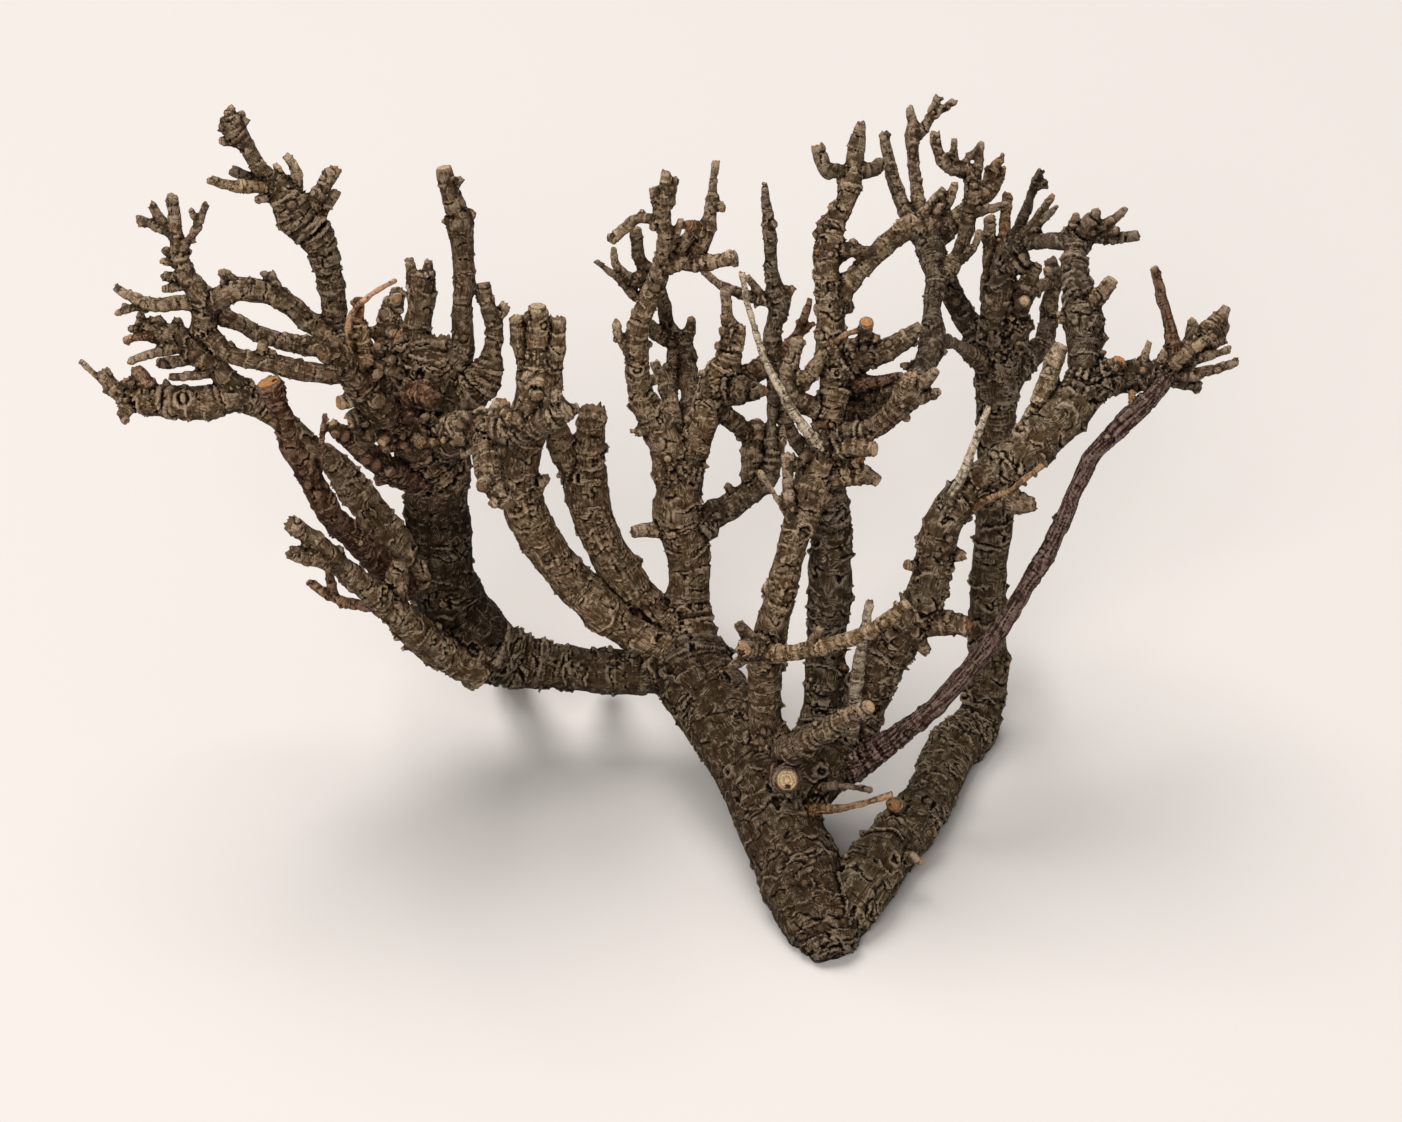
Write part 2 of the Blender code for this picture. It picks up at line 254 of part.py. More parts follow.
# Twigs and stubs of the middle and the right, and short branches on the hidden side
TWIGS = {
    "stump_prong_left": [(-66, 128, -6, 2.6), (-68, 134, -4, 2), (-68.7, 138.6, -2, 1.7)],
    "stump_prong_middle": [(-63.5, 130, -5, 3.2), (-63.9, 137, -2, 2.6), (-64, 141.2, 0, 2.1)],
    "stump_prong_right": [(-61, 128, -5, 2.8), (-59.8, 134, -3, 2.1), (-59.6, 138.3, -2, 2)],
    "slant_knob": [(-65.5, 100, -22, 2.2), (-61.8, 103.6, -20, 1.1)],
    "middle_stub": [(-34, 92.3, -40, 2.3), (-40, 92, -37, 1.7), (-43.3, 91.4, -36, 1.4)],
    "middle_knob": [(-38.5, 115, -31, 2.2), (-42.7, 113, -30, 1)],
    "middle_left_stub": [(-43.3, 130, -21, 1.6), (-46, 134, -19, 1.1), (-47, 137.8, -18, 0.9)],
    "comb_twig": [(-33.5, 111, -37, 2.4), (-34.6, 118, -39, 1.8), (-36.2, 124, -42, 1.6),
                  (-38.5, 128.8, -44, 1.1)],
    "head_prong_left": [(-37.6, 163, -3, 1.6), (-38.8, 167, -2, 1)],
    "head_prong_middle": [(-36.2, 163.5, -2, 1.7), (-35.8, 170.5, -1, 1.1)],
    "head_prong_right": [(-35.4, 163.5, -2, 1.5), (-34, 169.3, -2, 1)],
    "elbow_twig": [(-37, 160, -4, 1.2), (-42.3, 160.2, -6, 1.3), (-44.5, 158.5, -7, 1.3),
                   (-48.2, 155, -8, 1.1)],
    "elbow_knob": [(-41.6, 160, -6, 1), (-41, 162.2, -6, 0.7)],
    "short_twig": [(-35.2, 154, -7, 1.4), (-33.3, 158, -6, 1), (-32.5, 160.3, -5, 0.8)],
    "cut_branch": [(-37, 149.5, -10, 2.1), (-33, 151, -10, 2.4), (-30, 150.5, -10, 2.1),
                   (-26, 150.6, -9, 1.8), (-20.4, 152, -7, 1.6)],
    "thorned_twig": [(-30.5, 151, -10, 2), (-28, 154.5, -10, 2.1), (-27, 158, -10, 2),
                     (-26.3, 161, -10, 1.7), (-25.6, 164, -10, 1.6), (-25.7, 167, -10, 1),
                     (-24.9, 172.9, -9, 0.9)],
    "thorn": [(-25.7, 163.7, -10, 1.5), (-22.9, 162.2, -9, 0.8)],
    "hooked_branch": [(-34, 151.7, -10, 1.8), (-31, 155.5, -9, 1.7), (-28.6, 158.8, -9, 1.9)],
    "hooked_stub": [(-28.6, 158.2, -9, 1.5), (-31.3, 159, -6, 1.1)],
    "dark_arm": [(-22.5, 123, -32, 3.8), (-18, 122.6, -30, 2.8), (-14, 122.2, -28, 1.1)],
    "dark_link": [(-21, 124.5, -33, 2.8), (-16.5, 126.5, -35, 2.5), (-12.3, 130, -37, 2.1)],
    "nub_left": [(-25, 125.7, -32, 1.5), (-28.6, 126.5, -31, 0.7)],
    "nub_low": [(-26, 121.5, -32, 2), (-27.4, 125.3, -31, 1.1)],
    "side_bump": [(-21, 131.5, -30, 2.1), (-19.3, 137, -29, 1.2)],
    "cross_arm": [(-25.5, 119, -34, 2.4), (-21, 115.7, -38, 2.2), (-17, 112, -41.5, 2)],
    "low_web": [(1, 106, 1, 2.6), (7, 106.8, 4, 2)],
    "far_stub": [(-16, 100.5, -43, 2.6), (-17, 105, -43, 2.7), (-16.5, 115.6, -41, 2.5)],
    "far_knob": [(-19.5, 98, -43, 1.6), (-22.5, 101.8, -42, 0.9)],
    "far_second": [(-12.6, 104, -41.5, 1.6), (-10.6, 111, -41, 1), (-10.5, 118, -40, 1),
                   (-11.8, 128, -37, 1.6)],
    "far_left_arm": [(-11, 142, -34, 2), (-16.5, 142.8, -35, 1.4), (-20.5, 144.2, -36, 1.2),
                     (-24.5, 146, -38, 1), (-28.3, 149.5, -40, 0.8)],
    "far_left_twig": [(-14.3, 142.5, -34.5, 1.2), (-18.3, 147.8, -33, 0.8)],
    "far_right_knob": [(-10.5, 142, -34, 1.4), (-8, 145.2, -33, 0.8)],
    "far_blade": [(-11.5, 129.5, -37, 1.7), (-8, 133.7, -34, 1.2), (-5.8, 138, -31, 1),
                  (-4.3, 142.5, -28, 0.8)],
    "far_blade_side": [(-8, 133.7, -34, 0.9), (-3.3, 137.4, -30, 0.7)],
    "rear_branch": [(-29.7, 110, -36, 2.8), (-30.3, 119, -45, 2.1), (-30.9, 126, -52, 2.1),
                    (-31.7, 130, -55, 2.5), (-33.3, 133, -56, 2.6), (-35.6, 137, -55, 1.7),
                    (-36.6, 142, -52, 1.6), (-38.5, 147.5, -50, 1.7), (-41.5, 151, -48, 1.5),
                    (-42.6, 158.3, -45, 1.3)],
    "rear_strand": [(-32.5, 109, -37, 2.4), (-34.6, 119, -46, 1.7), (-34.8, 125, -52, 1.8),
                    (-33.3, 131.5, -55.5, 2.3)],
    "rear_knob": [(-34.5, 133.5, -55.5, 2.1), (-38.2, 135.3, -54, 1.6), (-39.7, 137.8, -53, 1.1)],
    "rear_prong": [(-32, 133, -56, 1.9), (-30.5, 136, -57, 1.3), (-30.2, 138.7, -57, 0.9)],
    "rear_twig_long": [(-38, 145.5, -50.5, 1.7), (-42, 142.8, -47, 1.3), (-45.5, 146.3, -45, 0.9),
                       (-51.4, 151, -43, 0.7)],
    "rear_twig": [(-39.5, 148, -49.5, 1.6), (-43.8, 146.6, -46, 1.9), (-46.9, 150.3, -46, 1),
                  (-47.4, 154, -47, 0.7)],
    "pale_twig": [(-1.5, 109.5, 3, 2.2), (-4.5, 113, 6, 1.4), (-7, 116.5, 7, 1.2),
                  (-9.5, 120.5, 8, 1.1), (-12, 125, 8, 1), (-14.5, 130, 9, 0.9),
                  (-17.6, 140, 9, 0.8), (-18.5, 144, 9, 0.8), (-19.3, 148.4, 9, 0.9)],
    "ringed_stub": [(-0.8, 117, 0, 2.5), (-4.5, 119.3, 2, 2.3), (-7, 120.7, 4, 2),
                    (-9, 123.5, 5, 1.8), (-8.8, 127, 5, 1.8), (-6.8, 133.9, 5, 1.6)],
    "tan_link": [(-9, 125.3, 5, 1.6), (-5, 125.4, 5, 1.9), (-3.2, 127.7, 5, 1.7),
                 (-0.8, 130.3, 4, 1.7)],
    "dark_twig": [(-3.5, 107.3, 0, 2), (-7.3, 111.3, 1, 1.6), (-9, 115.5, 2, 1.2),
                  (-8.3, 120.5, 4, 1.1)],
    "knotted_twig": [(-6.5, 93.5, 2, 1.8), (-9, 97.5, 5, 1.4), (-9.1, 103, 5, 1.3),
                     (-9, 108.6, 5, 1.4)],
    "knotted_side": [(-9, 105, 5, 1.1), (-6.3, 107, 4, 1.2), (-3, 109.5, 3, 1.5)],
    "ball_twig": [(-8.5, 94, 4, 0.9), (-12.3, 100, 6, 0.7), (-15.4, 104.9, 7, 0.8)],
    "facing_stub": [(-0.3, 85.3, -17, 1.7), (-1.5, 85.9, -11, 1.2)],
    "cut_stub_right": [(-0.5, 108, 1, 3), (4.5, 110.2, 5, 2.4), (9.9, 109.6, 9, 1.7)],
    "low_lump": [(-0.5, 103, 1, 3), (4.5, 104, 3, 2.6), (8, 104, 4, 2), (10.8, 102.5, 5, 1.3)],
    "front_right_arm": [(-0.5, 111, 2, 3.4), (5, 113, 4, 2.7), (8.5, 113.6, 6, 2.4),
                        (12.3, 116.3, 8, 2.4), (15, 118.8, 10, 2.8), (17.3, 122, 12, 3.1),
                        (18.6, 125.8, 13, 2.6)],
    "front_prong_up": [(18.3, 122.7, 12, 2.2), (21.5, 125, 14, 1.5), (23.6, 127.2, 15, 1)],
    "front_prong_out": [(17.8, 121.3, 12, 2.2), (21.3, 121.2, 13, 1.2), (24.3, 122.6, 14, 0.8)],
    "front_arm_spur": [(14.7, 119, 10, 1.8), (17.3, 116, 11, 0.8)],
    "dark_mass": [(1, 119, 0, 3), (6, 118.7, -2, 3.2), (11, 119.3, 1, 2.6), (15, 120.7, 7, 2.2)],
    "shadow_web": [(2, 123, 0, 3), (7, 123, 0, 2.6), (11, 122, 2, 2.2), (16.5, 122, 9, 2.2)],
    "ringed_thorn": [(20, 127.3, 2, 1.6), (15.4, 128.2, 3, 0.7)],
    "pale_ended_arm": [(1.5, 126.5, 2, 4.4), (6, 129.5, 3, 3.4), (10, 130.4, 4, 2.8),
                       (14, 132.2, 5, 2.5), (17, 134.3, 6, 2.1), (20, 137, 7, 1.1)],
    "cup_stub": [(6.7, 129, 3, 2.2), (7.6, 134, 5, 1.7), (8, 137.7, 9, 1.7)],
    "cup_spur": [(7.8, 133.3, 5, 1.1), (10.8, 134.4, 6, 0.7)],
    "orange_bridge": [(0.7, 133, 5, 1), (4, 135, 7, 0.7), (7.2, 135.8, 7.5, 0.8)],
    "small_dark_stub": [(4, 129.5, 4, 1.5), (5.4, 133.9, 6, 0.9)],
    "red_stub": [(4, 124.3, 2, 2.4), (10, 124.3, 4, 1.7), (16, 126, 6, 0.9)],
    "upper_blob": [(0.8, 153, 3.5, 2.2), (5, 153.3, 4, 1.6), (9.3, 152.3, 3.5, 1.5)],
    "upper_blob_nub": [(3.7, 153.5, 4, 1.2), (5.8, 155.6, 5, 0.7)],
    "head_arm_left": [(4.3, 170.4, 3, 1.7), (1.5, 170.7, 4, 1.5), (-0.9, 171, 4, 1.6),
                      (-2.6, 176, 4, 1.6)],
    "head_arm_right": [(5.5, 170.7, 3, 1.8), (9.5, 171, 0, 1.7), (11.3, 172.3, -4, 1.5)],
    "head_knob": [(1.5, 160, 3.5, 1.5), (0.1, 163.2, 5, 0.9)],
    "head_knob_left": [(-0.3, 157.5, 3.5, 2), (-2.2, 159.6, 5, 1.2)],
    "head_knob_low": [(-0.7, 153, 3.5, 2), (-3.1, 153.2, 5, 1.1)],
    "fan_prong_left": [(19.3, 159, 3, 1.8), (22, 163.3, 4, 1.1), (25, 166.7, 5, 0.8)],
    "fan_prong_right": [(24, 159.8, 3, 1.7), (26, 164, 4, 1.3), (27.6, 168.2, 5, 0.8)],
    "fan_spur": [(22.5, 159.7, 3.5, 1.4), (24.5, 163.4, 6, 0.8)],
    "far_pole_left": [(20.3, 156, -22, 2.6), (17.3, 160.5, -28, 1.9), (15.3, 165, -30, 1.6),
                      (13.6, 170, -32, 1.5), (11.7, 179, -34, 1.1)],
    "far_pole_right": [(20.7, 156.5, -22.5, 2.4), (19.6, 163, -30, 1.7), (18.7, 169, -33, 1.4),
                       (18.2, 175, -35, 1.4), (18, 178.5, -36, 1.7), (18, 181, -37, 1.3),
                       (17.5, 184.6, -38, 0.9)],
    "far_fork": [(18.3, 177.5, -36, 1.5), (21.5, 181.5, -37, 1.2), (23.7, 187, -38, 0.9)],
    "far_fork_side": [(22, 182.3, -37, 1.1), (27.5, 186.1, -37, 0.9)],
    "curly_side": [(28.3, 151.5, -14.5, 1.7), (31.3, 153.5, -13, 1.1), (33.1, 157.7, -12, 0.8)],
    "curly_spur": [(27.3, 171.7, -11.5, 1.3), (27.2, 178, -10, 0.7)],
    "curly_upright": [(31.5, 167, -13, 1.5), (32.6, 172, -12, 1.1), (33.1, 177.1, -11, 0.9)],
    "curly_brace": [(28.7, 171.5, -12, 0.9), (32.5, 175.7, -11.3, 0.7)],
    "tan_limb": [(21.5, 155, -23, 3), (26, 158.5, -24, 2.6), (31, 163, -25, 1.8),
                 (35, 166.5, -27, 2), (37.9, 171.4, -28, 1)],
    "tan_tooth": [(34.3, 166.5, -26.6, 1.3), (34.6, 171.3, -27, 0.8)],
    "brown_tooth": [(35.8, 168.3, -27.3, 1.3), (36.3, 172, -26, 1.2), (38.1, 173.1, -25, 0.7)],
    "grey_side": [(31, 161.7, -14, 1.5), (35.5, 162.4, -11, 1.1), (38.9, 163.7, -9, 0.8)],
    "ringed_pole": [(35.8, 137, -29.5, 2.4), (34.4, 144, -28, 1.6), (34.8, 150, -26, 1.4),
                    (34.9, 155, -25, 1.5), (35, 160.8, -24, 1.3)],
    "orange_pole": [(38.3, 152, -22.5, 2), (38.3, 158, -27, 1.4), (38.9, 165.6, -30, 1.2)],
    "dark_pole": [(40, 154, -20, 2), (42, 159.3, -19, 1.4), (43.3, 163, -18, 1.1),
                  (45, 168, -16, 0.9), (46.2, 170.9, -15, 0.8)],
    "dark_pole_side": [(44.3, 166, -16.6, 1), (47.5, 168.7, -15, 0.8)],
    "grey_pole": [(41.5, 155, -18.5, 1.9), (45, 159, -16, 1.4), (46.5, 162, -15, 1),
                  (48.9, 165.2, -14, 0.8)],
    "grey_pole_side": [(44.3, 158, -16.5, 1.2), (50, 163, -12, 0.7)],
    "lumpy_base": [(38.5, 132, -30, 4), (42, 138.5, -26, 3)],
    "arch_lump": [(39, 150, -22, 3.2), (43, 152.3, -20, 2.3)],
    "lumpy_stub": [(37.8, 136, -28, 3.5), (41.3, 140.5, -25, 2.5), (42.6, 143.5, -23, 2.1),
                   (43.6, 147, -22, 1.8), (46, 150.4, -21, 1.1)],
    "lumpy_cut": [(41.7, 141, -25, 1.8), (42.7, 142.2, -18, 1.3)],
    "grey_bridge": [(43, 142.7, -23.5, 1.6), (46.3, 145.5, -29, 1.3), (49.2, 146, -37, 1.3)],
    "tan_strip": [(48.2, 140, -38, 1.6), (48.7, 144, -35, 1.4), (47.5, 149.5, -33, 0.8)],
    "stem_link": [(34.5, 128.5, -31, 3), (31, 130.5, -25, 1.9), (28, 132.3, -17, 1.3),
                  (23.5, 134, -6, 1.7)],
    "whip_neighbour": [(4.5, 45, -21, 2), (5, 50, -17, 1.7), (6, 60, -13, 1.5), (8.7, 76.4, -8, 1)],
    "right_side_stub": [(17, 71, -15, 3), (25, 71.7, -11, 2.8), (30.4, 71, -9, 2.2)],
    "right_under_stub": [(17.5, 70, -15, 2.4), (21.5, 65, -13, 1.2)],
    "shelf_left": [(22, 84, -7.5, 2), (16.3, 84.3, -5, 1)],
    "shelf_right": [(24, 86.7, -6.5, 2.2), (29.5, 86.5, -4, 1.2)],
    "knobby_stub": [(35.5, 101.5, 2, 3.6), (41, 98, 4, 2.5), (44.8, 97.6, 5, 1.6)],
    "orange_twig": [(30.5, 96.5, 2, 1.3), (36, 99.3, 7, 0.8), (40, 101, 8, 0.7),
                    (46.8, 106.4, 8.5, 0.8)],
    "grey_lean_twig": [(25.5, 96, 1, 1.8), (29.5, 105, 6, 1.1), (31.7, 111, 7, 1),
                       (34.8, 119, 7, 0.8)],
    "cut_fork": [(39.5, 106.5, 2, 3.6), (43.5, 114, 1, 2.7), (45.7, 119, 2, 2.2),
                 (47.5, 124, 3, 2.1), (49, 128.5, 4, 2.2), (50.9, 132.6, 4, 1.6)],
    "upright_cut_stub": [(55.5, 140.5, -0.5, 3), (59.3, 143.5, 2, 2), (62, 147, 4, 1.5)],
    "upright_spur": [(57.5, 133, 1, 1.8), (61, 134.4, 2, 0.8)],
    "upright_spur_left": [(53.5, 138.7, 0, 1.8), (49.9, 137.7, 1, 0.8)],
    "red_stick": [(76, 128, 2, 2.1), (75.2, 133, 1, 1.7), (74, 138, 1, 1.3), (71, 149.6, 3, 1.1)],
    "arm_stub": [(68, 126.5, 3, 1.3), (70, 133.2, 4, 0.8)],
    "arm_bump": [(72.3, 127.5, 4, 1.6), (73.2, 131.4, 5, 0.8)],
    "arm_knob": [(61.5, 126, 4, 2.7), (63.5, 129.2, 7, 1.7)],
    "end_branch": [(76, 128.5, 2, 2.4), (80.5, 133.3, -3, 2.6), (83.5, 136, -5, 2.3),
                   (85.5, 138.3, -6, 1.7), (87, 141, -6, 1.1)],
    "end_thumb": [(79.7, 132.7, -2, 2), (79.3, 138.2, -1, 1.1)],
    "end_knob": [(82.5, 134, -4, 2.4), (87, 136.5, -6, 1.2)],
    "end_shelf": [(80, 131.5, -2, 2), (86.7, 133.7, -4, 1)],
    "end_grey": [(74, 127, 3.5, 2), (77, 129.8, 6, 1.5), (79.5, 132, 7, 1.3), (84.3, 134.7, 8, 0.8)],
    "end_brown": [(76.3, 127.6, 2.3, 1.9), (81, 129.5, 0, 1.2), (87.7, 131.5, -2, 0.8)],
    "end_long": [(75, 126.8, 3, 2.1), (80.5, 126.3, 4, 1.4), (89.5, 128.8, 6, 0.9)],
    "end_low": [(73, 126, 2, 2), (78, 124, -1, 1.4), (81.3, 123.6, -2, 1)],
    "end_drop": [(79.6, 124, -1.5, 1.2), (80.4, 122.1, -2, 0.8)],
    "orange_drop": [(67, 125, 4, 1.2), (65.7, 119.4, 5, 0.7)],
    "top_grey": [(52.6, 155.5, -11.5, 1.6), (54, 161.5, -9, 0.8)],
    "top_body": [(55.7, 156, -11, 2.4), (57, 159, -8, 2.1), (58.8, 162.1, -7, 0.9)],
    "top_side": [(57, 157.7, -9, 1.9), (61, 159.3, -8, 1.3), (65.2, 162.5, -8, 0.7)],
    "top_nub": [(59.5, 156.7, -9.5, 1.5), (63.3, 157.8, -6, 0.8)],
    "front_branch": [(-9, 43, -17, 4), (-7, 44.5, -8, 3.2), (-2, 47.5, 0, 2.6), (4, 51, 8, 2),
                     (9, 53.4, 13, 1.6)],
    "facing_cut": [(-10.5, 38.5, -20, 4), (-9.3, 37.3, -7, 2.8)],
    "back_stem_stub": [(17, 29, -27, 2.6), (14, 32, -16, 1.7)],
    "low_thorn": [(13, 22.5, -15, 2), (20.3, 19.2, -8, 0.8)],
    "low_twig_black": [(-4, 35, -14, 1.6), (2, 36, -8, 0.9), (9.3, 35, -4, 0.7)],
    "low_twig_orange": [(-6, 30.5, -12, 1.6), (4, 31.3, -5, 0.9), (13.8, 34.2, -2, 0.8)],
    "small_cluster": [(-13, 68, -6, 3.2), (-16, 66, 0, 2.9), (-18.8, 66, 4, 2.2)],
    "small_cluster_up": [(-16.3, 66.5, 1, 1.9), (-20, 71.7, 3, 1.3)],
    "small_cluster_low": [(-16.8, 65, 1.5, 1.7), (-22, 61.8, 4, 0.9)],
    "small_arm": [(-15, 65.3, -1, 2.2), (-10, 65, 3, 1.9), (-3, 66, 6, 1.8), (4, 68, 8, 1.7),
                  (10, 70.5, 10, 1.6), (14, 73.5, 11, 1.5), (17.3, 76, 12, 1.1)],
    "small_arm_bud": [(-4.5, 66.3, 5.5, 1.4), (-1.7, 70.7, 6, 1)],
    "hidden_middle": [(-31, 83, -43, 3.4), (-32, 88, -57, 2.9), (-33, 92, -70, 2.4),
                      (-34, 95, -82, 1.7)],
    "hidden_right": [(35, 74, -51, 3.1), (35, 80, -64, 2.6), (36, 86, -77, 1.9)],
    "hidden_left": [(-86, 99, -26, 4.4), (-87, 106, -40, 3.6), (-88, 112, -54, 2.9),
                    (-87, 118, -67, 2)],
    "hidden_left_fork": [(-87.5, 109, -47, 2.6), (-84, 116, -52, 2), (-82, 122, -54, 1.4)],
    "hidden_upright": [(55.5, 130, 1, 3), (55.5, 134, -12, 2.5), (56, 138, -24, 1.7)],
    "hidden_crotch": [(2, 127, 1, 3.6), (2, 131, -14, 2.9), (1.5, 134, -28, 2.3),
                      (1, 138, -39, 1.6)],
    "hidden_bough": [(-50, 61, -46, 3.6), (-50, 62, -60, 2.9), (-49, 63, -72, 2)],
}


def place(across, up, toward):
    """World point of a station, which keeps its place in the view whatever its depth."""
    nearer = 1.0 - toward / EYE_DISTANCE
    across = AIM[0] + (across - AIM[0]) * nearer
    up = AIM[1] + (up - AIM[1]) * nearer
    depth = up * math.sin(LEAN) - toward * math.cos(LEAN)
    height = up * math.cos(LEAN) + toward * math.sin(LEAN)
    return Vector((across, depth, height)) * UNIT


def blended(before, start, end, after, share):
    """Value at a share of the stretch from start to end, on a smooth curve through all four."""
    slope_in = (end - before) / 2
    slope_out = (after - start) / 2
    rise = end - start
    return (start + slope_in * share + (3 * rise - 2 * slope_in - slope_out) * share ** 2
            + (slope_in + slope_out - 2 * rise) * share ** 3)


def smooth_line(stations):
    """Points and radii along a limb, closer together where it is thin."""
    line = []
    padded = [stations[0]] + list(stations) + [stations[-1]]
    for index in range(len(stations) - 1):
        before, start, end, after = padded[index:index + 4]
        length = math.dist(start[:3], end[:3])
        step = max(SHORTEST_STEP, RING_SPACING * (start[3] + end[3]) / 2)
        count = max(1, round(length / step))
        for turn in range(count):
            share = turn / count
            line.append([blended(*values, share) for values in zip(before, start, end, after)])
    line.append(list(stations[-1]))
    return line


def bevel_resolution(radius):
    """Resolution of a limb's bevel: thick limbs have more sides."""
    return next(resolution for least, resolution in SIDES_BY_RADIUS if radius >= least)


def wood_material():
    """Weathered grey-brown bark."""
    material = bpy.data.materials.new("weathered_wood")
    material.use_nodes = True
    shader = material.node_tree.nodes["Principled BSDF"]
    shader.inputs["Base Color"].default_value = (0.105, 0.078, 0.052, 1)
    shader.inputs["Roughness"].default_value = 0.82
    shader.inputs["Metallic"].default_value = 0.0
    return material


def limb(name, stations, collection, draw):
    """One tapered limb as a closed mesh, its radius wandering and its bark bulging a little.

    Its flat sides are set out by the fullness that gives them a round limb's area.
    """
    line = smooth_line(stations)
    curve = bpy.data.curves.new(name, "CURVE")
    curve.dimensions = "3D"
    curve.bevel_depth = UNIT
    curve.bevel_resolution = bevel_resolution(sum(point[3] for point in line) / len(line))
    curve.use_fill_caps = True
    sides = 4 + 2 * curve.bevel_resolution
    fullness = math.sqrt(2 * math.pi / (sides * math.sin(2 * math.pi / sides)))
    spline = curve.splines.new("POLY")
    spline.points.add(len(line) - 1)
    for point, (across, up, toward, radius) in zip(spline.points, line):
        point.co = (*place(across, up, toward), 1)
        nearer = 1.0 - toward / EYE_DISTANCE
        point.radius = radius * nearer * fullness * (1 + SWELL * draw.uniform(-1, 1))
    tube = bpy.data.objects.new(name, curve)
    collection.objects.link(tube)
    bpy.context.view_layer.update()
    evaluated = tube.evaluated_get(bpy.context.evaluated_depsgraph_get())
    mesh = bpy.data.meshes.new_from_object(evaluated)
    bulge_bark(mesh, sum(point[3] for point in line) / len(line))
    solid = bpy.data.objects.new(name + "_solid", mesh)
    solid.matrix_world = tube.matrix_world.copy()
    bpy.data.objects.remove(tube)
    collection.objects.link(solid)
    return solid


def bulge_bark(mesh, radius):
    """Weld the caps, then move each point in or out by a smooth noise of its place."""
    shape = bmesh.new()
    shape.from_mesh(mesh)
    bmesh.ops.remove_doubles(shape, verts=shape.verts, dist=WELD)
    bmesh.ops.recalc_face_normals(shape, faces=shape.faces)
    shape.normal_update()
    for vertex in shape.verts:
        height = noise.noise(vertex.co / BUMP_SIZE)
        vertex.co += vertex.normal * height * BUMP * radius * UNIT
    bmesh.ops.triangulate(shape, faces=shape.faces)
    shape.to_mesh(mesh)
    shape.free()


def spurs(limbs, draw):
    """Stations of short broken twig bases, at random places round the boughs."""
    result = {}
    for name, stations in limbs.items():
        if name in SMOOTH_BOUGHS:
            continue
        line = smooth_line(stations)
        run = 0.0
        for start, end in zip(line, line[1:]):
            run += math.dist(start[:3], end[:3])
            if run < SPUR_SPACING:
                continue
            run = draw.uniform(0.0, 0.4) * SPUR_SPACING
            result[f"{name}_spur_{len(result)}"] = spur(start, draw)
    return result


def spur(root, draw):
    """A stub that stands out of the limb at root, on the side turned away from the eye."""
    across, up, toward, radius = root
    angle = draw.uniform(-SPUR_TURN, SPUR_TURN)
    reach = radius + draw.uniform(*SPUR_REACH)
    thick = min(radius * SPUR_SHARE, draw.uniform(*SPUR_RADIUS))
    start = (across, up, toward, thick * SPUR_FLARE)
    end = (across + math.sin(angle) * reach, up, toward - math.cos(angle) * reach, thick)
    return [start, end]


def fused(name, solids, collection):
    """One solid of the first limb and all the others."""
    trunk, others = solids[0], solids[1:]
    limbs = bpy.data.collections.new("limbs")
    bpy.context.scene.collection.children.link(limbs)
    for solid in others:
        collection.objects.unlink(solid)
        limbs.objects.link(solid)
    union = trunk.modifiers.new("union", "BOOLEAN")
    union.operation = "UNION"
    union.operand_type = "COLLECTION"
    union.solver = "MANIFOLD"
    union.collection = limbs
    apply_modifiers(trunk)
    for solid in others:
        bpy.data.objects.remove(solid)
    bpy.data.collections.remove(limbs)
    trunk.name = name
    trunk.data.name = name
    return trunk


def trim_flat(solid, cutters):
    """Cut away what lies below the ground plane, so the low points are flat and level."""
    bpy.ops.mesh.primitive_cube_add(size=1)
    slab = bpy.context.active_object
    slab.name = "ground_cutter"
    slab.data.transform(slab.matrix_world)
    for vertex in slab.data.vertices:
        vertex.co.x *= FLOOR_WIDTH
        vertex.co.y *= FLOOR_WIDTH
        vertex.co.z = (vertex.co.z - 0.5) * FLOOR_DEPTH
    for home in slab.users_collection:
        home.objects.unlink(slab)
    cutters.objects.link(slab)
    slab.hide_render = True
    slab.display_type = "WIRE"
    trim = solid.modifiers.new("trim", "BOOLEAN")
    trim.operation = "DIFFERENCE"
    trim.solver = "MANIFOLD"
    trim.object = slab
    apply_modifiers(solid)


def thin_faces(solid):
    """Collapse the smallest faces, most of them slivers where limbs meet, down to the budget."""
    count = sum(len(face.vertices) - 2 for face in solid.data.polygons)
    thin = solid.modifiers.new("thin", "DECIMATE")
    thin.ratio = min(1.0, FACE_BUDGET / count)
    apply_modifiers(solid)


def apply_modifiers(solid):
    """Replace the solid's mesh with the one that its modifiers make."""
    bpy.context.view_layer.update()
    evaluated = solid.evaluated_get(bpy.context.evaluated_depsgraph_get())
    mesh = bpy.data.meshes.new_from_object(evaluated)
    solid.modifiers.clear()
    solid.data = mesh


def keep_outer_body(solid):
    """Drop loose scraps and sealed hollows, and keep the largest closed body."""
    shape = bmesh.new()
    shape.from_mesh(solid.data)
    unseen = set(shape.verts)
    bodies = []
    while unseen:
        front = [unseen.pop()]
        body = set(front)
        while front:
            vertex = front.pop()
            for edge in vertex.link_edges:
                other = edge.other_vert(vertex)
                if other in unseen:
                    unseen.discard(other)
                    body.add(other)
                    front.append(other)
        bodies.append(body)
    largest = max(bodies, key=len)
    scraps = [vertex for vertex in shape.verts if vertex not in largest]
    bmesh.ops.delete(shape, geom=scraps, context="VERTS")
    bmesh.ops.triangulate(shape, faces=shape.faces)
    shape.to_mesh(solid.data)
    shape.free()


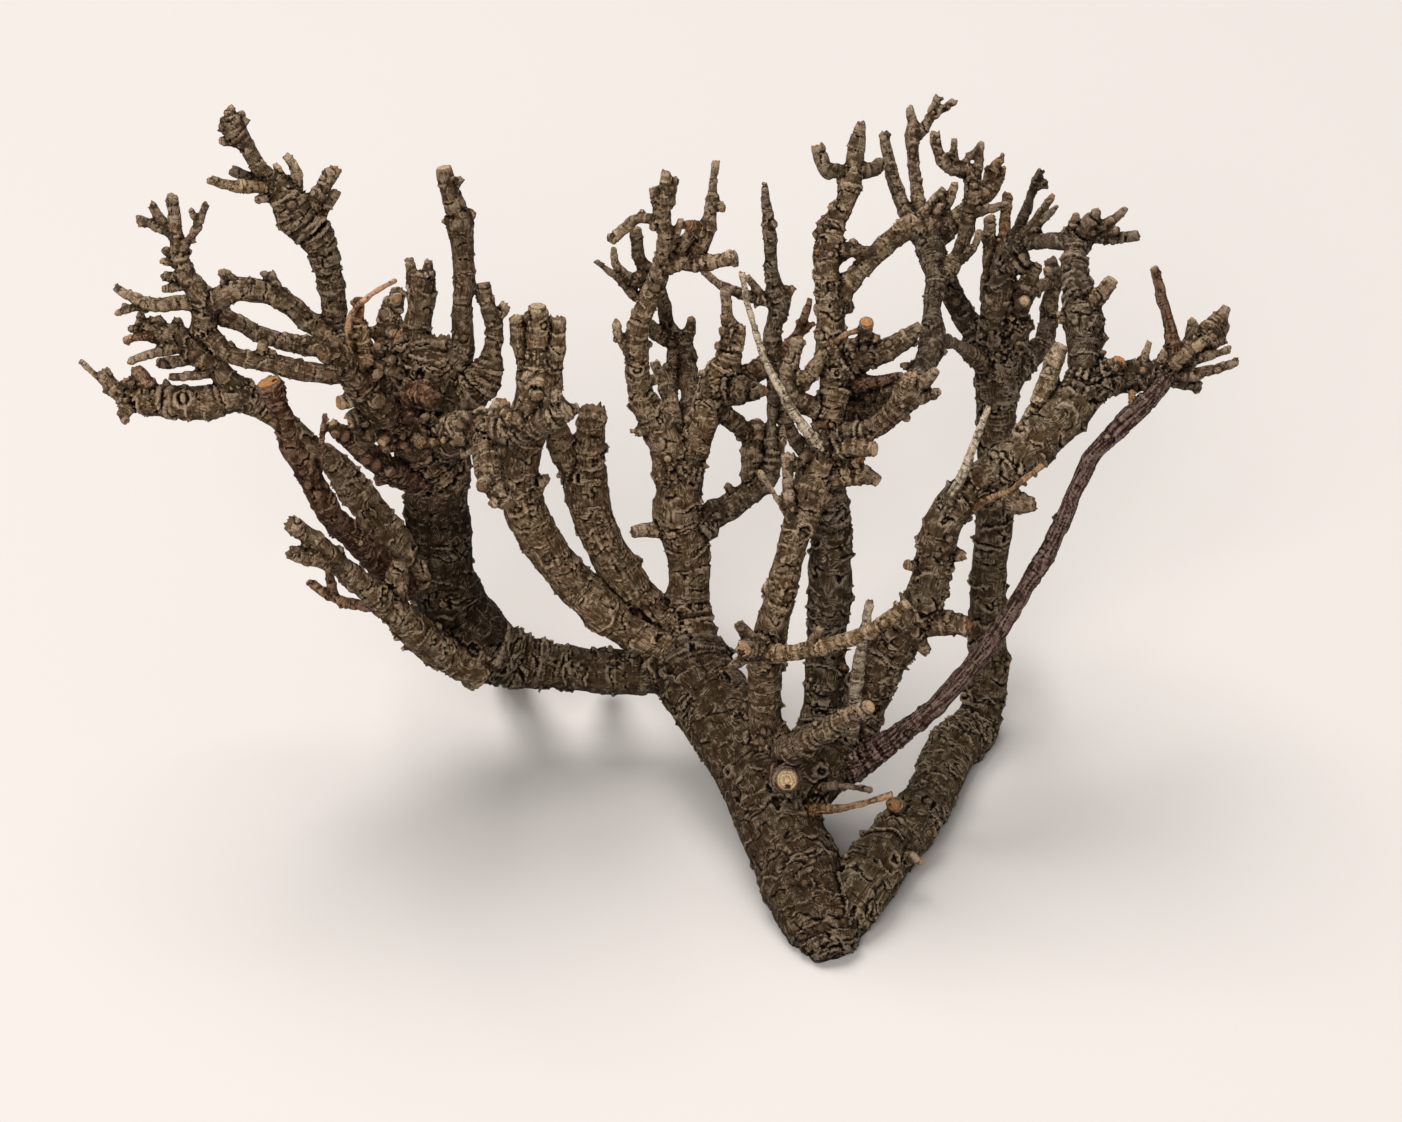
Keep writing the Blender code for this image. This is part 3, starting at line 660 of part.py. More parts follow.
def main():
    for item in list(bpy.data.objects):
        bpy.data.objects.remove(item)
    part = bpy.data.collections.new("driftwood")
    cutters = bpy.data.collections.new("cutters")
    bpy.context.scene.collection.children.link(part)
    bpy.context.scene.collection.children.link(cutters)
    draw = random.Random(SPUR_SEED)
    limbs = {**BOUGHS, **LEFT_ARMS, **TWIGS, **spurs(BOUGHS, draw)}
    solids = [limb(name, stations, part, draw) for name, stations in limbs.items()]
    driftwood = fused("driftwood", solids, part)
    keep_outer_body(driftwood)
    thin_faces(driftwood)
    trim_flat(driftwood, cutters)
    keep_outer_body(driftwood)
    driftwood.data.materials.clear()
    driftwood.data.materials.append(wood_material())
    driftwood.data.shade_smooth()
    driftwood.data.set_sharp_from_angle(angle=CREASE)


main()
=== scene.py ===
"""Driftwood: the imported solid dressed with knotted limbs, wrinkled cracked bark and cut ends."""

import itertools
import math
import random

import bpy
import numpy as np
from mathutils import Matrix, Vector, kdtree


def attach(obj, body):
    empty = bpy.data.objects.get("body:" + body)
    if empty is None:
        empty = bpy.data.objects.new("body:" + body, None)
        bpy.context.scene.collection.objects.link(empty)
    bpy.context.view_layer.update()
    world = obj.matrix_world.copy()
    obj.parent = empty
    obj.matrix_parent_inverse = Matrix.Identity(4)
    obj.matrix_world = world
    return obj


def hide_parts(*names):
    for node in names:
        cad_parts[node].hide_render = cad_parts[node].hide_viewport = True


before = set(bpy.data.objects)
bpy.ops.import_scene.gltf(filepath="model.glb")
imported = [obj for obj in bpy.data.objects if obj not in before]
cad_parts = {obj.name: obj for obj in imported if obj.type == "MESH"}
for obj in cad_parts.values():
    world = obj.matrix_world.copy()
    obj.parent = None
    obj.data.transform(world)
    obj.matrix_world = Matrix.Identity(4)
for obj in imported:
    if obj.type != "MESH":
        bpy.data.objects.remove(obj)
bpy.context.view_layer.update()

# Driving dimensions, the same as the solid's
SPREAD = 0.254            # width across the widest branches, in metres
UNITS_ACROSS = 254.0      # the same width in station units, so one unit is a millimetre
UNIT = SPREAD / UNITS_ACROSS
LEAN = math.radians(35)   # how far the drawing plane of the stations leans back
EYE_DISTANCE = 650.0      # station units from the eye to the drawing plane
AIM = (-28.2, 85.2)       # the point of the drawing plane that the eye looks at
VIEW_WIDTH = 307.0        # width that the view takes in at the drawing plane, in station units

# Floor and lights, in metres
FLOOR_WIDTH = 8
LIT_POINT = (-0.03, 0.07, 0.05)                # where the lights aim, near the part's middle
DAYLIGHT = (1.0, 0.985, 0.96)

# Twig bases on the hidden side, drawn the same way as the solid's. Lengths are in station units.
RING_SPACING = 2.4        # distance between the solid's rings, in radii
SHORTEST_STEP = 4.2       # and the least that it is
SPUR_SEED = 23
SPUR_SPACING = 30.0
SPUR_REACH = (1.5, 4.0)
SPUR_RADIUS = (0.9, 1.7)
SPUR_SHARE = 0.45
SPUR_FLARE = 1.3
SPUR_TURN = math.radians(50)
SMOOTH_BOUGHS = ("whip", "hidden_prop")

# Surface of the limbs. Lengths are in station units.
RING_STEP = 0.9           # distance between the finer rings of a limb
SIDES = 16                # sides of a limb before its surface is remeshed
THIN_SIDES = 8            # and of one whose mean radius is under SIDES_RADIUS
SIDES_RADIUS = 1.2
VOXEL = 0.40
FILLET_ROUNDS = 2         # rounds of smoothing that soften the joins between limbs
KEPT_SHARE = 0.6          # share of its triangles that a piece is thinned to
LARGEST_PIECE = 180000    # and the most that it may keep

# Small knobs: distance apart, reach past the limb's surface, and radius
BUD_SEED = 7
BUD_SIZES = (4.8, (0.25, 1.4), (0.40, 1.1))
KNOB_SIZES = (1.6, (0.8, 2.8), (0.8, 1.7))     # the same on crowded limbs
CROWDED_LIMBS = ("front_cluster", "cluster_knobs", "cluster_low", "cluster_low_right",
                 "cluster_left_low", "cluster_right", "cluster_twig", "forward_arm",
                 "forward_arm_up", "forward_arm_down")
BUD_MARGIN = 0.5          # length at a limb's end that has no knobs
BUD_SHARE = 0.55          # the most that a knob's radius may be of its limb's
BUD_ROOT = 0.45           # share of its reach at which it starts, inside the limb
BUD_TAPER = (1.35, 1.15, 1.0, 0.75)            # its radius from root to end, in shares

# Depth of the bark, in station units
BARK_LIMIT = 1.2          # the most that bark stands in or out
BARK_LIMIT_SHARE = 0.32   # and the most that it does for a radius of one unit
MIDDLING_LIMB = 4.5       # mean radius at which the bark's pattern has its own size
BARK_SCALES = (0.70, 0.92)                     # least and greatest size of that pattern
CUT_LENGTH = 0.45         # a sawn or broken end starts this far from a limb's end
RAGGED = (1.3, 0.7)       # depth of a broken end, and the share of the radius that it may be

# How much painted shade a hollow gets, and how pale a worn ridge with its painted highlight is
FINE_ROUNDS = 5           # rounds of averaging that a point's height is compared with, near by
FINE_RANGE = 0.70         # and the difference in height that takes it from its darkest to its lightest
BROAD_ROUNDS = 24         # the same, further out
BROAD_RANGE = 2.6

# How light the bark is
THIN_LIMB = 2.8           # mean radius below which a limb has younger bark
THIN_SMOOTHNESS = 0.35    # which is this much smoother
THIN_LIGHTNESS = 1.05     # and this much lighter
LIMB_SHADES = (0.80, 0.38)                     # each limb's own shade: the least, and the spread
PIECE_SHADES = {"driftwood_left": 1.10, "driftwood_middle": 1.16, "driftwood_front": 0.88,
                "driftwood_right": 0.90, "driftwood_back": 0.78, "driftwood_left_tips": 1.02}
FOOT_DARKENING_HEIGHT = 6.0          # height over the ground up to which the bark is darker, most at the ground
FOOT_SHADE = 0.45         # share of its lightness that it keeps at the bottom
UNDERSIDE_PAINTED_SHADE = 0.42        # share of its lightness that the underside of a limb keeps: painted shade, darker as the surface faces down
OUTER_PART = (0.50, 0.85)                      # where along a limb its colour turns to its tip's
TINT_ROUNDS = 5           # rounds of averaging that blend the colours of limbs that meet

# Which random draw is which: two numbers and a salt for each
OFFSET_DRAW = ((3, 7), 90)
SHADE_DRAW = ((2, 9), 92)
END_DRAW = ((1, 5), 91)
OFFSET_RANGE = 400        # station units over which the limbs' bark patterns are spread

# Stations of the limbs: across, up, toward the eye, radius.
# The first limb is the trunk, and every other limb starts inside the one that it grows from.
BOUGHS = {
    "trunk": [(1, -4, 2, 6.2), (-1, 4, -1, 8.2), (-4, 12, -6, 9.2), (-9, 22, -12, 9),
              (-12.5, 30, -18, 8.8), (-18, 42, -27, 9), (-24, 52, -36, 9), (-29, 60, -42, 9),
              (-30.5, 66, -46, 7.5)],
    "crotch": [(-13, 29, -18, 6.5), (-7, 36, -19, 8), (-2, 42, -21, 7.5), (0, 47.5, -23, 5.5)],
    "right_back_stem": [(0, 5, -3, 6.5), (7, 14, -7, 6.9), (13, 22, -16, 6.1), (18, 28, -25, 5.9),
                        (23, 36, -36, 5.5), (26, 43, -48, 5.8), (32, 49, -57, 5.2),
                        (34, 56, -57, 4.4), (34.8, 64, -55, 4.2), (34.3, 74, -52, 4),
                        (35, 84, -49, 3.8), (36, 92, -46, 4), (36.5, 100, -44, 4),
                        (36.3, 110, -41, 4), (36.5, 118, -37, 4.3), (37, 125, -34, 4.8)],
    "left_bough": [(-28, 62, -43, 7.5), (-34, 62.5, -45, 6), (-40, 61.3, -45, 5.2),
                   (-50, 61, -45, 4.9), (-60, 62, -45, 5), (-68, 63.5, -44, 6), (-74, 66, -42, 7)],
    "left_trunk": [(-70, 62.5, -44, 6), (-77, 68, -41, 8), (-83, 76, -38, 7.5), (-85, 85, -33, 7),
                   (-86, 95, -28, 7.2), (-86, 105, -20, 7.3), (-87, 117, -11, 7),
                   (-88, 125, -7, 6.8), (-87.5, 131, -5, 5.4)],
    "hidden_prop": [(-62, 62.5, -44, 4.4), (-66, 63, -56, 4), (-69, 63, -70, 3.5),
                    (-70.5, 62.5, -82, 3.2), (-71, 62, -92, 2.8)],
    "slant_stem_left": [(-33, 65, -45, 6), (-42, 70, -43, 5), (-50, 75, -40, 4.8),
                        (-56, 80.5, -36, 4.6), (-62, 88, -31, 4.6), (-66, 95, -27, 4.6),
                        (-68, 103, -22, 4.4), (-67.5, 110, -17, 4.4), (-65.5, 116, -13, 4.7),
                        (-64, 122, -10, 5.2), (-63.5, 128, -7, 5), (-63.5, 132.5, -5, 4)],
    "slant_stem_right": [(-31, 66, -46, 5.5), (-38, 73, -44, 4.7), (-43, 79, -41, 4.5),
                         (-47, 85, -38, 4.4), (-50.5, 91, -34, 4.4), (-52.7, 97, -31, 4.6),
                         (-53.8, 104, -27, 5), (-53, 110, -23, 3.7), (-51.8, 118.3, -18, 3)],
    "slant_prong": [(-54.5, 103, -27, 3.6), (-58.5, 110, -22, 3), (-60.5, 116, -17, 2.6),
                    (-61.5, 121, -13, 2)],
    "middle_stem": [(-29.5, 64, -45, 6), (-31, 76, -45, 4.8), (-31, 84, -43, 4.6),
                    (-32, 90, -41, 4.9), (-33.5, 96, -39, 5.3), (-33, 102, -37, 5),
                    (-32.8, 108, -35, 5)],
    "middle_left": [(-34.3, 103, -37, 4.2), (-36, 111, -33.5, 3.9), (-38.5, 116, -31, 3.6),
                    (-41, 120.5, -28, 3), (-42, 125, -25, 2.6), (-42.3, 130, -22, 2.8),
                    (-42.2, 135, -19, 2.7), (-40.7, 140, -16, 2.3), (-38.5, 145, -13, 2.4),
                    (-36.8, 150, -10, 2.2), (-36, 155, -7, 1.9), (-36.6, 160, -4, 2),
                    (-36.6, 165, -2, 2.3)],
    "middle_right": [(-32, 103, -36, 4), (-29.3, 111, -35, 3.5), (-27.8, 115.5, -34, 3.3),
                     (-26.6, 120, -34, 3.3), (-24.5, 124.5, -33, 3.8), (-22.5, 128, -32, 3.3),
                     (-21.8, 131.5, -31, 2.5), (-21.8, 135.5, -30, 2.3), (-22.5, 139, -29, 1.4),
                     (-22.9, 145.2, -27, 1.1)],
    "front_stem": [(-6, 38, -19, 5.5), (-13, 47, -21, 4), (-14.3, 56, -16, 3.7),
                   (-13.3, 68, -6, 3.8), (-10.5, 79, 0, 3.3), (-8, 89, 2, 3.3), (-5, 98, 2, 3.9),
                   (-2.8, 105, 1, 4.3), (-1.3, 111, 1, 4), (0, 116, 1, 3.2), (1, 121, 2, 3),
                   (1.6, 126, 2, 4.2), (0.6, 131, 2, 3.9), (0, 136, 2, 3.3), (0, 141, 2, 3.5),
                   (-0.3, 145, 2.5, 3.1), (-0.5, 149.5, 3, 2.8), (-0.2, 154, 3, 3.4),
                   (0.3, 158, 3, 2.9), (2.3, 161.5, 3, 2.3), (3.7, 164.5, 3, 2.1),
                   (4.2, 167.3, 3, 2.9), (4.6, 169.8, 3, 2.3), (5.5, 173, 3, 1.9),
                   (6.1, 177, 3, 1.9), (7, 181.3, 3, 1.1)],
    "rear_stem": [(-3, 40, -23, 6), (-2, 50, -28, 5), (-1, 60, -27, 4.5), (-0.5, 70, -24, 4.2),
                  (0, 80, -19, 4.8), (0.5, 90, -13, 4.6), (0, 98, -7, 4), (-1, 106, -1, 3)],
    "right_stem": [(0, 41, -22, 6), (5, 47, -25, 5.2), (8, 55, -24, 5), (12, 64, -20, 5),
                   (18, 72, -14, 4.5), (21.5, 79, -10, 4.2), (23, 85, -7, 4.3),
                   (24.5, 92, -3, 4.3), (28, 98, 0, 4.4), (33, 102, 1, 4.7), (38, 105.3, 2, 5),
                   (43, 109, 3, 5), (48, 113.5, 3, 5), (52, 118, 3, 5), (55, 122, 3, 5),
                   (57, 126, 3, 4.4)],
    "right_upright": [(56, 122.5, 3, 4.6), (56, 129, 2, 3.7), (56, 134, 1, 3.9),
                      (55.4, 139, 0, 4.3), (54.5, 144, -2, 3.7), (53.5, 149, -5, 3),
                      (53.8, 153, -9, 2.4), (54.3, 156, -12, 2.1)],
    "right_arm": [(54, 122, 3, 4.4), (61, 125.3, 3, 4.2), (66, 125.7, 3, 3.5), (71, 126.2, 3, 2.8),
                  (75, 127.2, 3, 2.5), (78.5, 128.3, 3, 1.9)],
    "whip": [(3, 40, -21, 4.6), (8, 42.3, -21, 3.6), (13, 45.5, -19, 2.7), (19, 50, -16, 2.3),
             (24, 54.3, -12, 2.1), (30, 61, -9, 2.1), (35, 67, -6, 2), (40, 74.5, -3, 1.9),
             (43.3, 80, -1, 1.9), (46.6, 85.5, 0, 2.1), (49.2, 90, 1, 1.9), (53.5, 100, 3, 1.8),
             (55.7, 105, 3, 1.8), (58, 109, 4, 1.9), (61.5, 112.5, 4, 2), (65, 116, 4, 2.2),
             (68, 119, 4, 2.3), (71, 122, 4, 2.1), (74, 126.5, 3, 2)],
    "back_top": [(36.8, 121, -36, 4.6), (37, 130, -32, 5.2), (36.8, 136, -29, 4.4),
                 (37, 141, -26, 3.7), (37.6, 146, -24, 3.1), (38.4, 151, -22, 2.8),
                 (40.2, 154.3, -20, 2.6), (43.2, 155.4, -18, 2.2), (47, 155.3, -15, 1.9),
                 (51, 155.3, -12, 2.1), (55, 156, -11, 2.4), (58.5, 156.6, -10, 1.9),
                 (62, 156, -9, 1.4), (67.7, 156.3, -8, 1.2)],
    "back_fork": [(38.5, 126, -34, 4.2), (43, 129.5, -36, 3.2), (46.5, 132, -38, 2.6),
                  (47.6, 136, -39, 2.1), (48, 141, -39, 1.9), (49.3, 146, -38, 1.7),
                  (48.4, 151.5, -37, 1.3)],
    "ringed_stem": [(16.5, 120.5, 9, 2.6), (19.3, 125.5, 4, 2.5), (21.8, 130, -1, 2.8),
                    (22.7, 134, -4, 3), (22.4, 138.5, -7, 2.1), (22.6, 143, -10, 2),
                    (23.2, 147.5, -13, 2.4), (22.5, 151.5, -17, 2.8), (21.5, 155.5, -21, 3),
                    (20, 159.7, -25, 2.4)],
    "far_diagonal": [(36.5, 126, -35, 4), (31.5, 135.5, -35, 3), (28, 141.5, -33, 2.6),
                     (24.7, 148, -30, 2.8), (22, 154, -26, 3), (20.3, 158.5, -26, 2.5)],
    "curly_stem": [(23.5, 146.5, -13, 2.2), (26.3, 149.5, -14, 2.1), (28.6, 153, -15, 1.8),
                   (29.8, 157.5, -15, 1.7), (30.8, 162, -14, 1.9), (31.4, 166, -13, 2.1),
                   (31, 169.6, -13, 2), (29.3, 170.9, -12, 1.6), (26.5, 171.3, -11, 1.5),
                   (24.3, 173.4, -10, 1.4), (23.2, 176, -9, 1.2), (23, 179, -9, 1.3)],
    "diagonal": [(0.3, 140.5, 2, 3.1), (3, 144.5, 2, 2.6), (6.5, 148.5, 3, 2.2),
                 (10, 152.3, 3, 2.1), (13.5, 155.5, 3, 2.3), (17, 158, 3, 2.6),
                 (20.5, 158.8, 3, 2.6), (24, 159.8, 3, 2.1), (26.5, 160.2, 3, 1.4)],
    "far_stem": [(-29, 92, -41, 4), (-26, 95, -42, 3.3), (-22, 97, -43, 2.9),
                 (-18, 99.7, -43, 2.8), (-14.5, 102.5, -42, 2.6), (-12.6, 106, -41, 2),
                 (-12.8, 112, -40, 1.25), (-12.8, 118, -39, 1.2), (-12.3, 124, -38, 1.5),
                 (-12, 129.5, -37, 2.5), (-12.7, 134, -36, 2.1), (-11.6, 138.5, -35, 2),
                 (-10.8, 142, -34, 2.4), (-12.2, 145.3, -33, 1.9), (-12.9, 150, -32, 1.5),
                 (-13.5, 160, -30, 1.4), (-14.3, 168.2, -28, 0.7)],
}

# The dense left end: arms that reach forward and out, each with its broken twigs
LEFT_ARMS = {
    "low_arm": [(-77, 62, -39, 4.8), (-84, 65, -32, 4.1), (-90, 69, -24, 3.8),
                (-95, 74, -17, 3.4), (-100, 78, -12, 3), (-106, 83, -6, 2.6), (-110, 87, 0, 2.2),
                (-113, 90, 3, 2.1), (-118.5, 93.5, 6, 1.9)],
    "low_arm_tip": [(-108, 85, -3, 2.1), (-113, 86, 2, 2), (-118.3, 87, 5, 1.7)],
    "low_arm_bud": [(-95, 76, -17, 2.4), (-94.5, 82, -14, 2.5), (-94, 85.5, -13, 1.5)],
    "red_twig": [(-96, 75, -19, 1.6), (-105, 76, -26, 1.2), (-110, 78, -29, 1.1),
                 (-114.3, 80.7, -31, 1)],
    "red_twig_side": [(-108.5, 77.5, -28, 1.1), (-110, 84.3, -29, 1)],
    "brown_arm": [(-92, 79, -28, 3.4), (-98, 84, -20, 3.1), (-105, 91, -8, 2.9),
                  (-109, 95, 0, 2.8), (-112, 100, 6, 2.8), (-115, 106, 10, 2.6),
                  (-118, 110, 12, 2.5), (-120, 117, 15, 2.2), (-123, 124.5, 19, 3)],
    "brown_arm_twig": [(-112.5, 102, 7, 1.1), (-111.5, 110, 10, 0.8), (-110.5, 117.7, 13, 0.7)],
    "left_arm": [(-85, 81, -34, 5.4), (-92, 86, -29, 4.8), (-97, 90.5, -25, 4.5),
                 (-101, 97, -22, 4), (-105, 102, -19, 3.6), (-109, 107, -16, 3),
                 (-114, 110, -13, 2.8), (-120, 116, -10, 2.8), (-126, 120, -7, 3.2),
                 (-130, 121.7, -5, 4), (-136, 120, -5, 3.7), (-143, 120, -5, 3.8),
                 (-150, 120.5, -5, 3.2), (-155.5, 120.8, -5, 2.4)],
    "left_arm_tip": [(-153.5, 121, -5, 2), (-157, 123.2, -4, 1.9), (-159.2, 126.8, -3, 1.7)],
    "left_arm_hair": [(-157, 122.8, -4, 1.1), (-160, 125.3, -4, 0.8), (-164.2, 129.2, -3, 0.7)],
    "left_arm_nub": [(-151.5, 121.5, -5, 1.5), (-154.2, 125, -3, 1.1)],
    "left_arm_drop": [(-153, 120, -4, 1.9), (-154.4, 117.6, -3, 1.5), (-154, 115.3, -2, 0.8)],
    "left_arm_fibre": [(-147.5, 121.5, -5, 2), (-150, 124.5, -4, 1.9), (-152, 127.3, -3, 1.5)],
    "knuckle_arm": [(-128.5, 121, -5, 3), (-133, 126, -3, 2.7), (-137, 130, -2, 3),
                    (-141, 133, -1, 3), (-146, 135, 0, 2.8), (-150.5, 136.2, 0, 2.2)],
    "knuckle_up": [(-149.3, 135.5, 0, 1.4), (-151.3, 139.5, 1, 0.9)],
    "knuckle_top": [(-146.3, 134.5, 0, 1.9), (-147.5, 138.7, 1, 1.4)],
    "knuckle_out": [(-149, 136, 0, 1.3), (-153.6, 136, 1, 0.9)],
    "knuckle_orange": [(-148.5, 135, 1, 1.3), (-154.8, 133.3, 3, 0.9)],
    "knuckle_low": [(-142, 132.5, 0, 1.8), (-147, 131, 2, 1.2), (-153.7, 128.8, 3, 0.9)],
    "knuckle_dark": [(-142, 133.5, -1, 1.7), (-143.2, 138.3, -2, 1.2)],
    "knuckle_grey": [(-138, 130.5, -3, 2), (-142, 129, -5, 1.5), (-147.3, 128.4, -6, 1.2)],
    "knuckle_inner": [(-134.5, 127.5, -2, 1.6), (-138, 126, -1, 1.2), (-144.8, 125.4, 0, 0.9)],
    "crown_lump": [(-91, 124, -8, 5.4), (-95, 134.5, -4, 3)],
    "crown_saddle": [(-86, 124, -7, 5), (-85, 134, -5, 2.6)],
    "crown_arm": [(-88, 121, -9, 6), (-95, 125.5, -6, 5), (-102, 129, -4, 4.5),
                  (-107, 132, -2, 4), (-109, 135.5, -1, 3.1)],
    "long_rail": [(-101, 127.5, -3, 3), (-108, 126.3, -2, 2.4), (-113, 126.5, -1, 2.3),
                  (-120, 128, 0, 2.3), (-125, 129, 1, 2.1), (-130, 130, 1, 2.1),
                  (-134, 132.5, 0, 2.3), (-138, 136.5, 0, 2.9)],
    "long_rail_stub": [(-124.7, 129.3, 1, 1.5), (-123.8, 133.4, 2, 1.1)],
    "back_rail": [(-103, 131.5, -3, 3), (-112, 132, -5, 2.4), (-118, 133, -6, 2.1),
                  (-125, 135, -5, 1.9), (-130, 137.5, -3, 1.9), (-136.8, 140.3, 0, 2.6)],
    "high_rail": [(-105, 132.5, -2, 3.1), (-113, 137, 1, 2.5), (-118, 141, 4, 2.4),
                  (-122, 143.5, 6, 2.4), (-127, 144.5, 8, 2.7), (-131, 144.3, 8, 2.7),
                  (-136, 141, 3, 2.4)],
    "high_rail_stub": [(-120.7, 143.3, 6, 1.7), (-122.7, 148.4, 7, 1.2)],
    "high_rail_end": [(-129, 145, 8, 1.8), (-133.4, 148.7, 10, 1.1)],
    "mast": [(-137.5, 135.5, 0, 2.8), (-137, 140.5, 3, 2.7), (-138, 144, 6, 2.5),
             (-140.5, 147.3, 8, 2.3), (-142, 151, 10, 2), (-143, 156, 12, 1.7),
             (-144, 165.6, 15, 1.2)],
    "mast_twig_left": [(-143.1, 156, 12, 1.6), (-145.9, 159, 11, 1.3), (-148.5, 163.3, 11, 1.1)],
    "mast_twig_low": [(-144.7, 157.5, 11.5, 1.4), (-151.6, 160.2, 9, 1.1)],
    "mast_twig_right": [(-142.4, 152.5, 10.7, 1.4), (-141, 154.7, 13, 1.1),
                        (-138.7, 158, 15, 1.1), (-136.6, 163.6, 17, 0.8)],
    "mast_twig_fork": [(-138.3, 158.7, 15.3, 1), (-140, 162.4, 16, 0.7)],
    "mast_stub_a": [(-142.2, 151.7, 10, 1.4), (-145.9, 153.4, 9, 1)],
    "mast_stub_b": [(-141.8, 150, 9.5, 1.3), (-146.6, 151, 11, 0.8)],
    "mast_stub_c": [(-140.5, 147.5, 8, 1.5), (-146.2, 147.2, 7, 1)],
    "mast_stub_d": [(-139.3, 145.7, 7, 1.4), (-146.3, 144.8, 9, 0.9)],
    "mast_low_arm": [(-137.5, 142, 4, 2), (-145, 141.5, 3, 1.7), (-149, 141.5, 3, 1.6),
                     (-153, 143, 4, 1.3), (-156.7, 145.3, 5, 0.8)],
    "mast_low_twig": [(-149.5, 141.7, 3, 1.2), (-156.4, 139.3, 2, 0.8)],
    "tall_post": [(-106.5, 131, -2, 3.8), (-108.5, 137, -1, 3.1), (-108.5, 142, 1, 2.8),
                  (-110, 149.5, 6, 3.1), (-112, 155.5, 9, 3.9), (-117, 161.5, 12, 4.5),
                  (-120.7, 167, 14, 2.8), (-124.7, 171, 16, 1.9), (-127.6, 176, 18, 1.8),
                  (-130.4, 179.5, 19, 2.7), (-131.3, 182.3, 20, 2.2)],
    "tall_post_tip": [(-131, 181, 20, 1.5), (-131, 184.8, 20.5, 1)],
    "tall_knob_left": [(-128.7, 177, 18, 1.4), (-133.7, 177, 18, 0.9)],
    "tall_knob_high": [(-130.5, 180, 19, 2), (-133.6, 180.3, 20, 1.2)],
    "tall_knob_right": [(-129.8, 179.8, 19, 1.2), (-127.4, 182, 20, 0.8)],
    "tall_dark_stub": [(-121.5, 168, 15, 2), (-125, 168.5, 15, 1.5), (-131, 170.7, 14, 1.2)],
    "tall_chip": [(-123.5, 167.3, 15.5, 1.5), (-130, 167.3, 18, 1.4), (-136.4, 168.6, 19, 0.8)],
    "tall_nub_left": [(-121, 166, 14, 1.6), (-125.8, 164.2, 14, 0.9)],
    "tall_nub_low": [(-116.5, 160.5, 11, 1.7), (-121, 158.2, 11, 0.9)],
    "tall_twig_up": [(-117.3, 164.5, 13, 1.7), (-116.8, 170, 14, 1.3), (-119.2, 174.3, 15, 0.8)],
    "tall_twig_mid": [(-119, 166.5, 14, 1.4), (-121.5, 172.2, 13, 0.8)],
    "tall_twig_right": [(-114.5, 161.5, 12, 2.3), (-111.7, 166, 12, 1.8), (-108.2, 171.3, 12, 1.5)],
    "tall_twig_low": [(-113.5, 159, 10, 2), (-110.5, 162.5, 9, 1.4), (-107.8, 166.4, 9, 1.1)],
    "short_post": [(-88.5, 127, -6, 4.2), (-90, 136, -5, 3.1), (-89.5, 143, -3, 3),
                   (-89.5, 148.7, -2, 3.3)],
    "short_post_prong": [(-91.5, 146.5, -2, 1.5), (-91.9, 151.6, -1, 0.9)],
    "short_post_chip": [(-88.3, 146.5, -2, 1.6), (-87.8, 151, -1, 1)],
    "grey_post": [(-84, 122, -7, 4.4), (-80.7, 132, -4, 2.6), (-80.5, 140, 0, 2.3),
                  (-80, 148, 4, 2.3), (-80.5, 155, 8, 2.5), (-81, 159.5, 11, 2.9),
                  (-82, 163, 13, 2.4), (-83.5, 167, 15, 2), (-84.6, 171.5, 17, 1.8)],
    "grey_post_knob": [(-80.7, 160, 11, 1.7), (-77.8, 161.4, 11, 1.1)],
    "grey_post_knob_left": [(-82, 160, 11, 1.4), (-84.8, 159.7, 12, 0.9)],
    "grey_post_knob_top": [(-83, 166.5, 15, 1.4), (-80.4, 169, 16, 0.9)],
    "right_crown": [(-86, 117, -11, 5), (-83, 120, -8, 4.7), (-77, 123.7, -5, 4.5),
                    (-74.7, 127.5, -4, 3.5), (-74, 131.5, -3, 2), (-73.4, 136, -2, 2),
                    (-75, 141, 0, 1.8), (-76, 146.2, 1, 1.9)],
    "right_crown_stub": [(-73.8, 138, -1, 1.6), (-70.9, 141.3, -2, 1.4)],
    "front_cluster": [(-86, 105, -16, 5.4), (-89, 109, -8, 4.7), (-92, 112, 0, 4.3),
                      (-98, 118, 15, 4), (-103, 125, 26, 3.6), (-108, 130, 34, 3),
                      (-111.5, 131, 38, 2.1)],
    "cluster_post": [(-102.8, 125, 26, 2.7), (-103, 137.5, 30, 2)],
    "cluster_twig": [(-98.5, 119, 17, 2.6), (-98, 131, 25, 2), (-96.3, 139, 27, 2.6),
                     (-93.7, 144.7, 28, 1.3)],
    "cluster_curl": [(-104.5, 129, 30, 0.9), (-105.3, 138, 32, 0.8), (-101, 143, 33, 0.7),
                     (-94.8, 146.8, 33, 0.7)],
    "cluster_orange": [(-103, 136, 29.5, 1.2), (-103.2, 143, 31, 1.3)],
    "cluster_right": [(-95, 114, 8, 3), (-94, 119, 13, 2.5), (-90, 122, 16, 2.4),
                      (-87.3, 120, 18, 1.9)],
    "cluster_low": [(-97, 116.5, 12, 2.8), (-103.3, 111.5, 13, 1.8)],
    "cluster_low_right": [(-93, 113, 3, 2.6), (-97, 110.3, 9, 1.8)],
    "cluster_left": [(-100.5, 121.5, 20, 2.4), (-107.7, 119.8, 24, 1.5)],
    "cluster_left_low": [(-99, 119, 16, 2.6), (-105.3, 115.7, 18, 2)],
    "cluster_side": [(-89, 110.5, -5, 1.6), (-81.8, 117.3, 0, 1)],
    "cluster_knobs": [(-90, 103, -13, 3.6), (-97, 105.5, -1, 2.7), (-103, 110, 7, 2.4),
                      (-109.3, 115.3, 11, 1.6)],
    "forward_arm": [(-86, 110, -13, 5.4), (-83.5, 112, -4, 4.5), (-78, 114, 6, 4.4),
                    (-72, 114, 15, 3.9), (-66, 114.7, 21, 3), (-61, 116.3, 25, 2.7),
                    (-57, 118.6, 27, 2.3)],
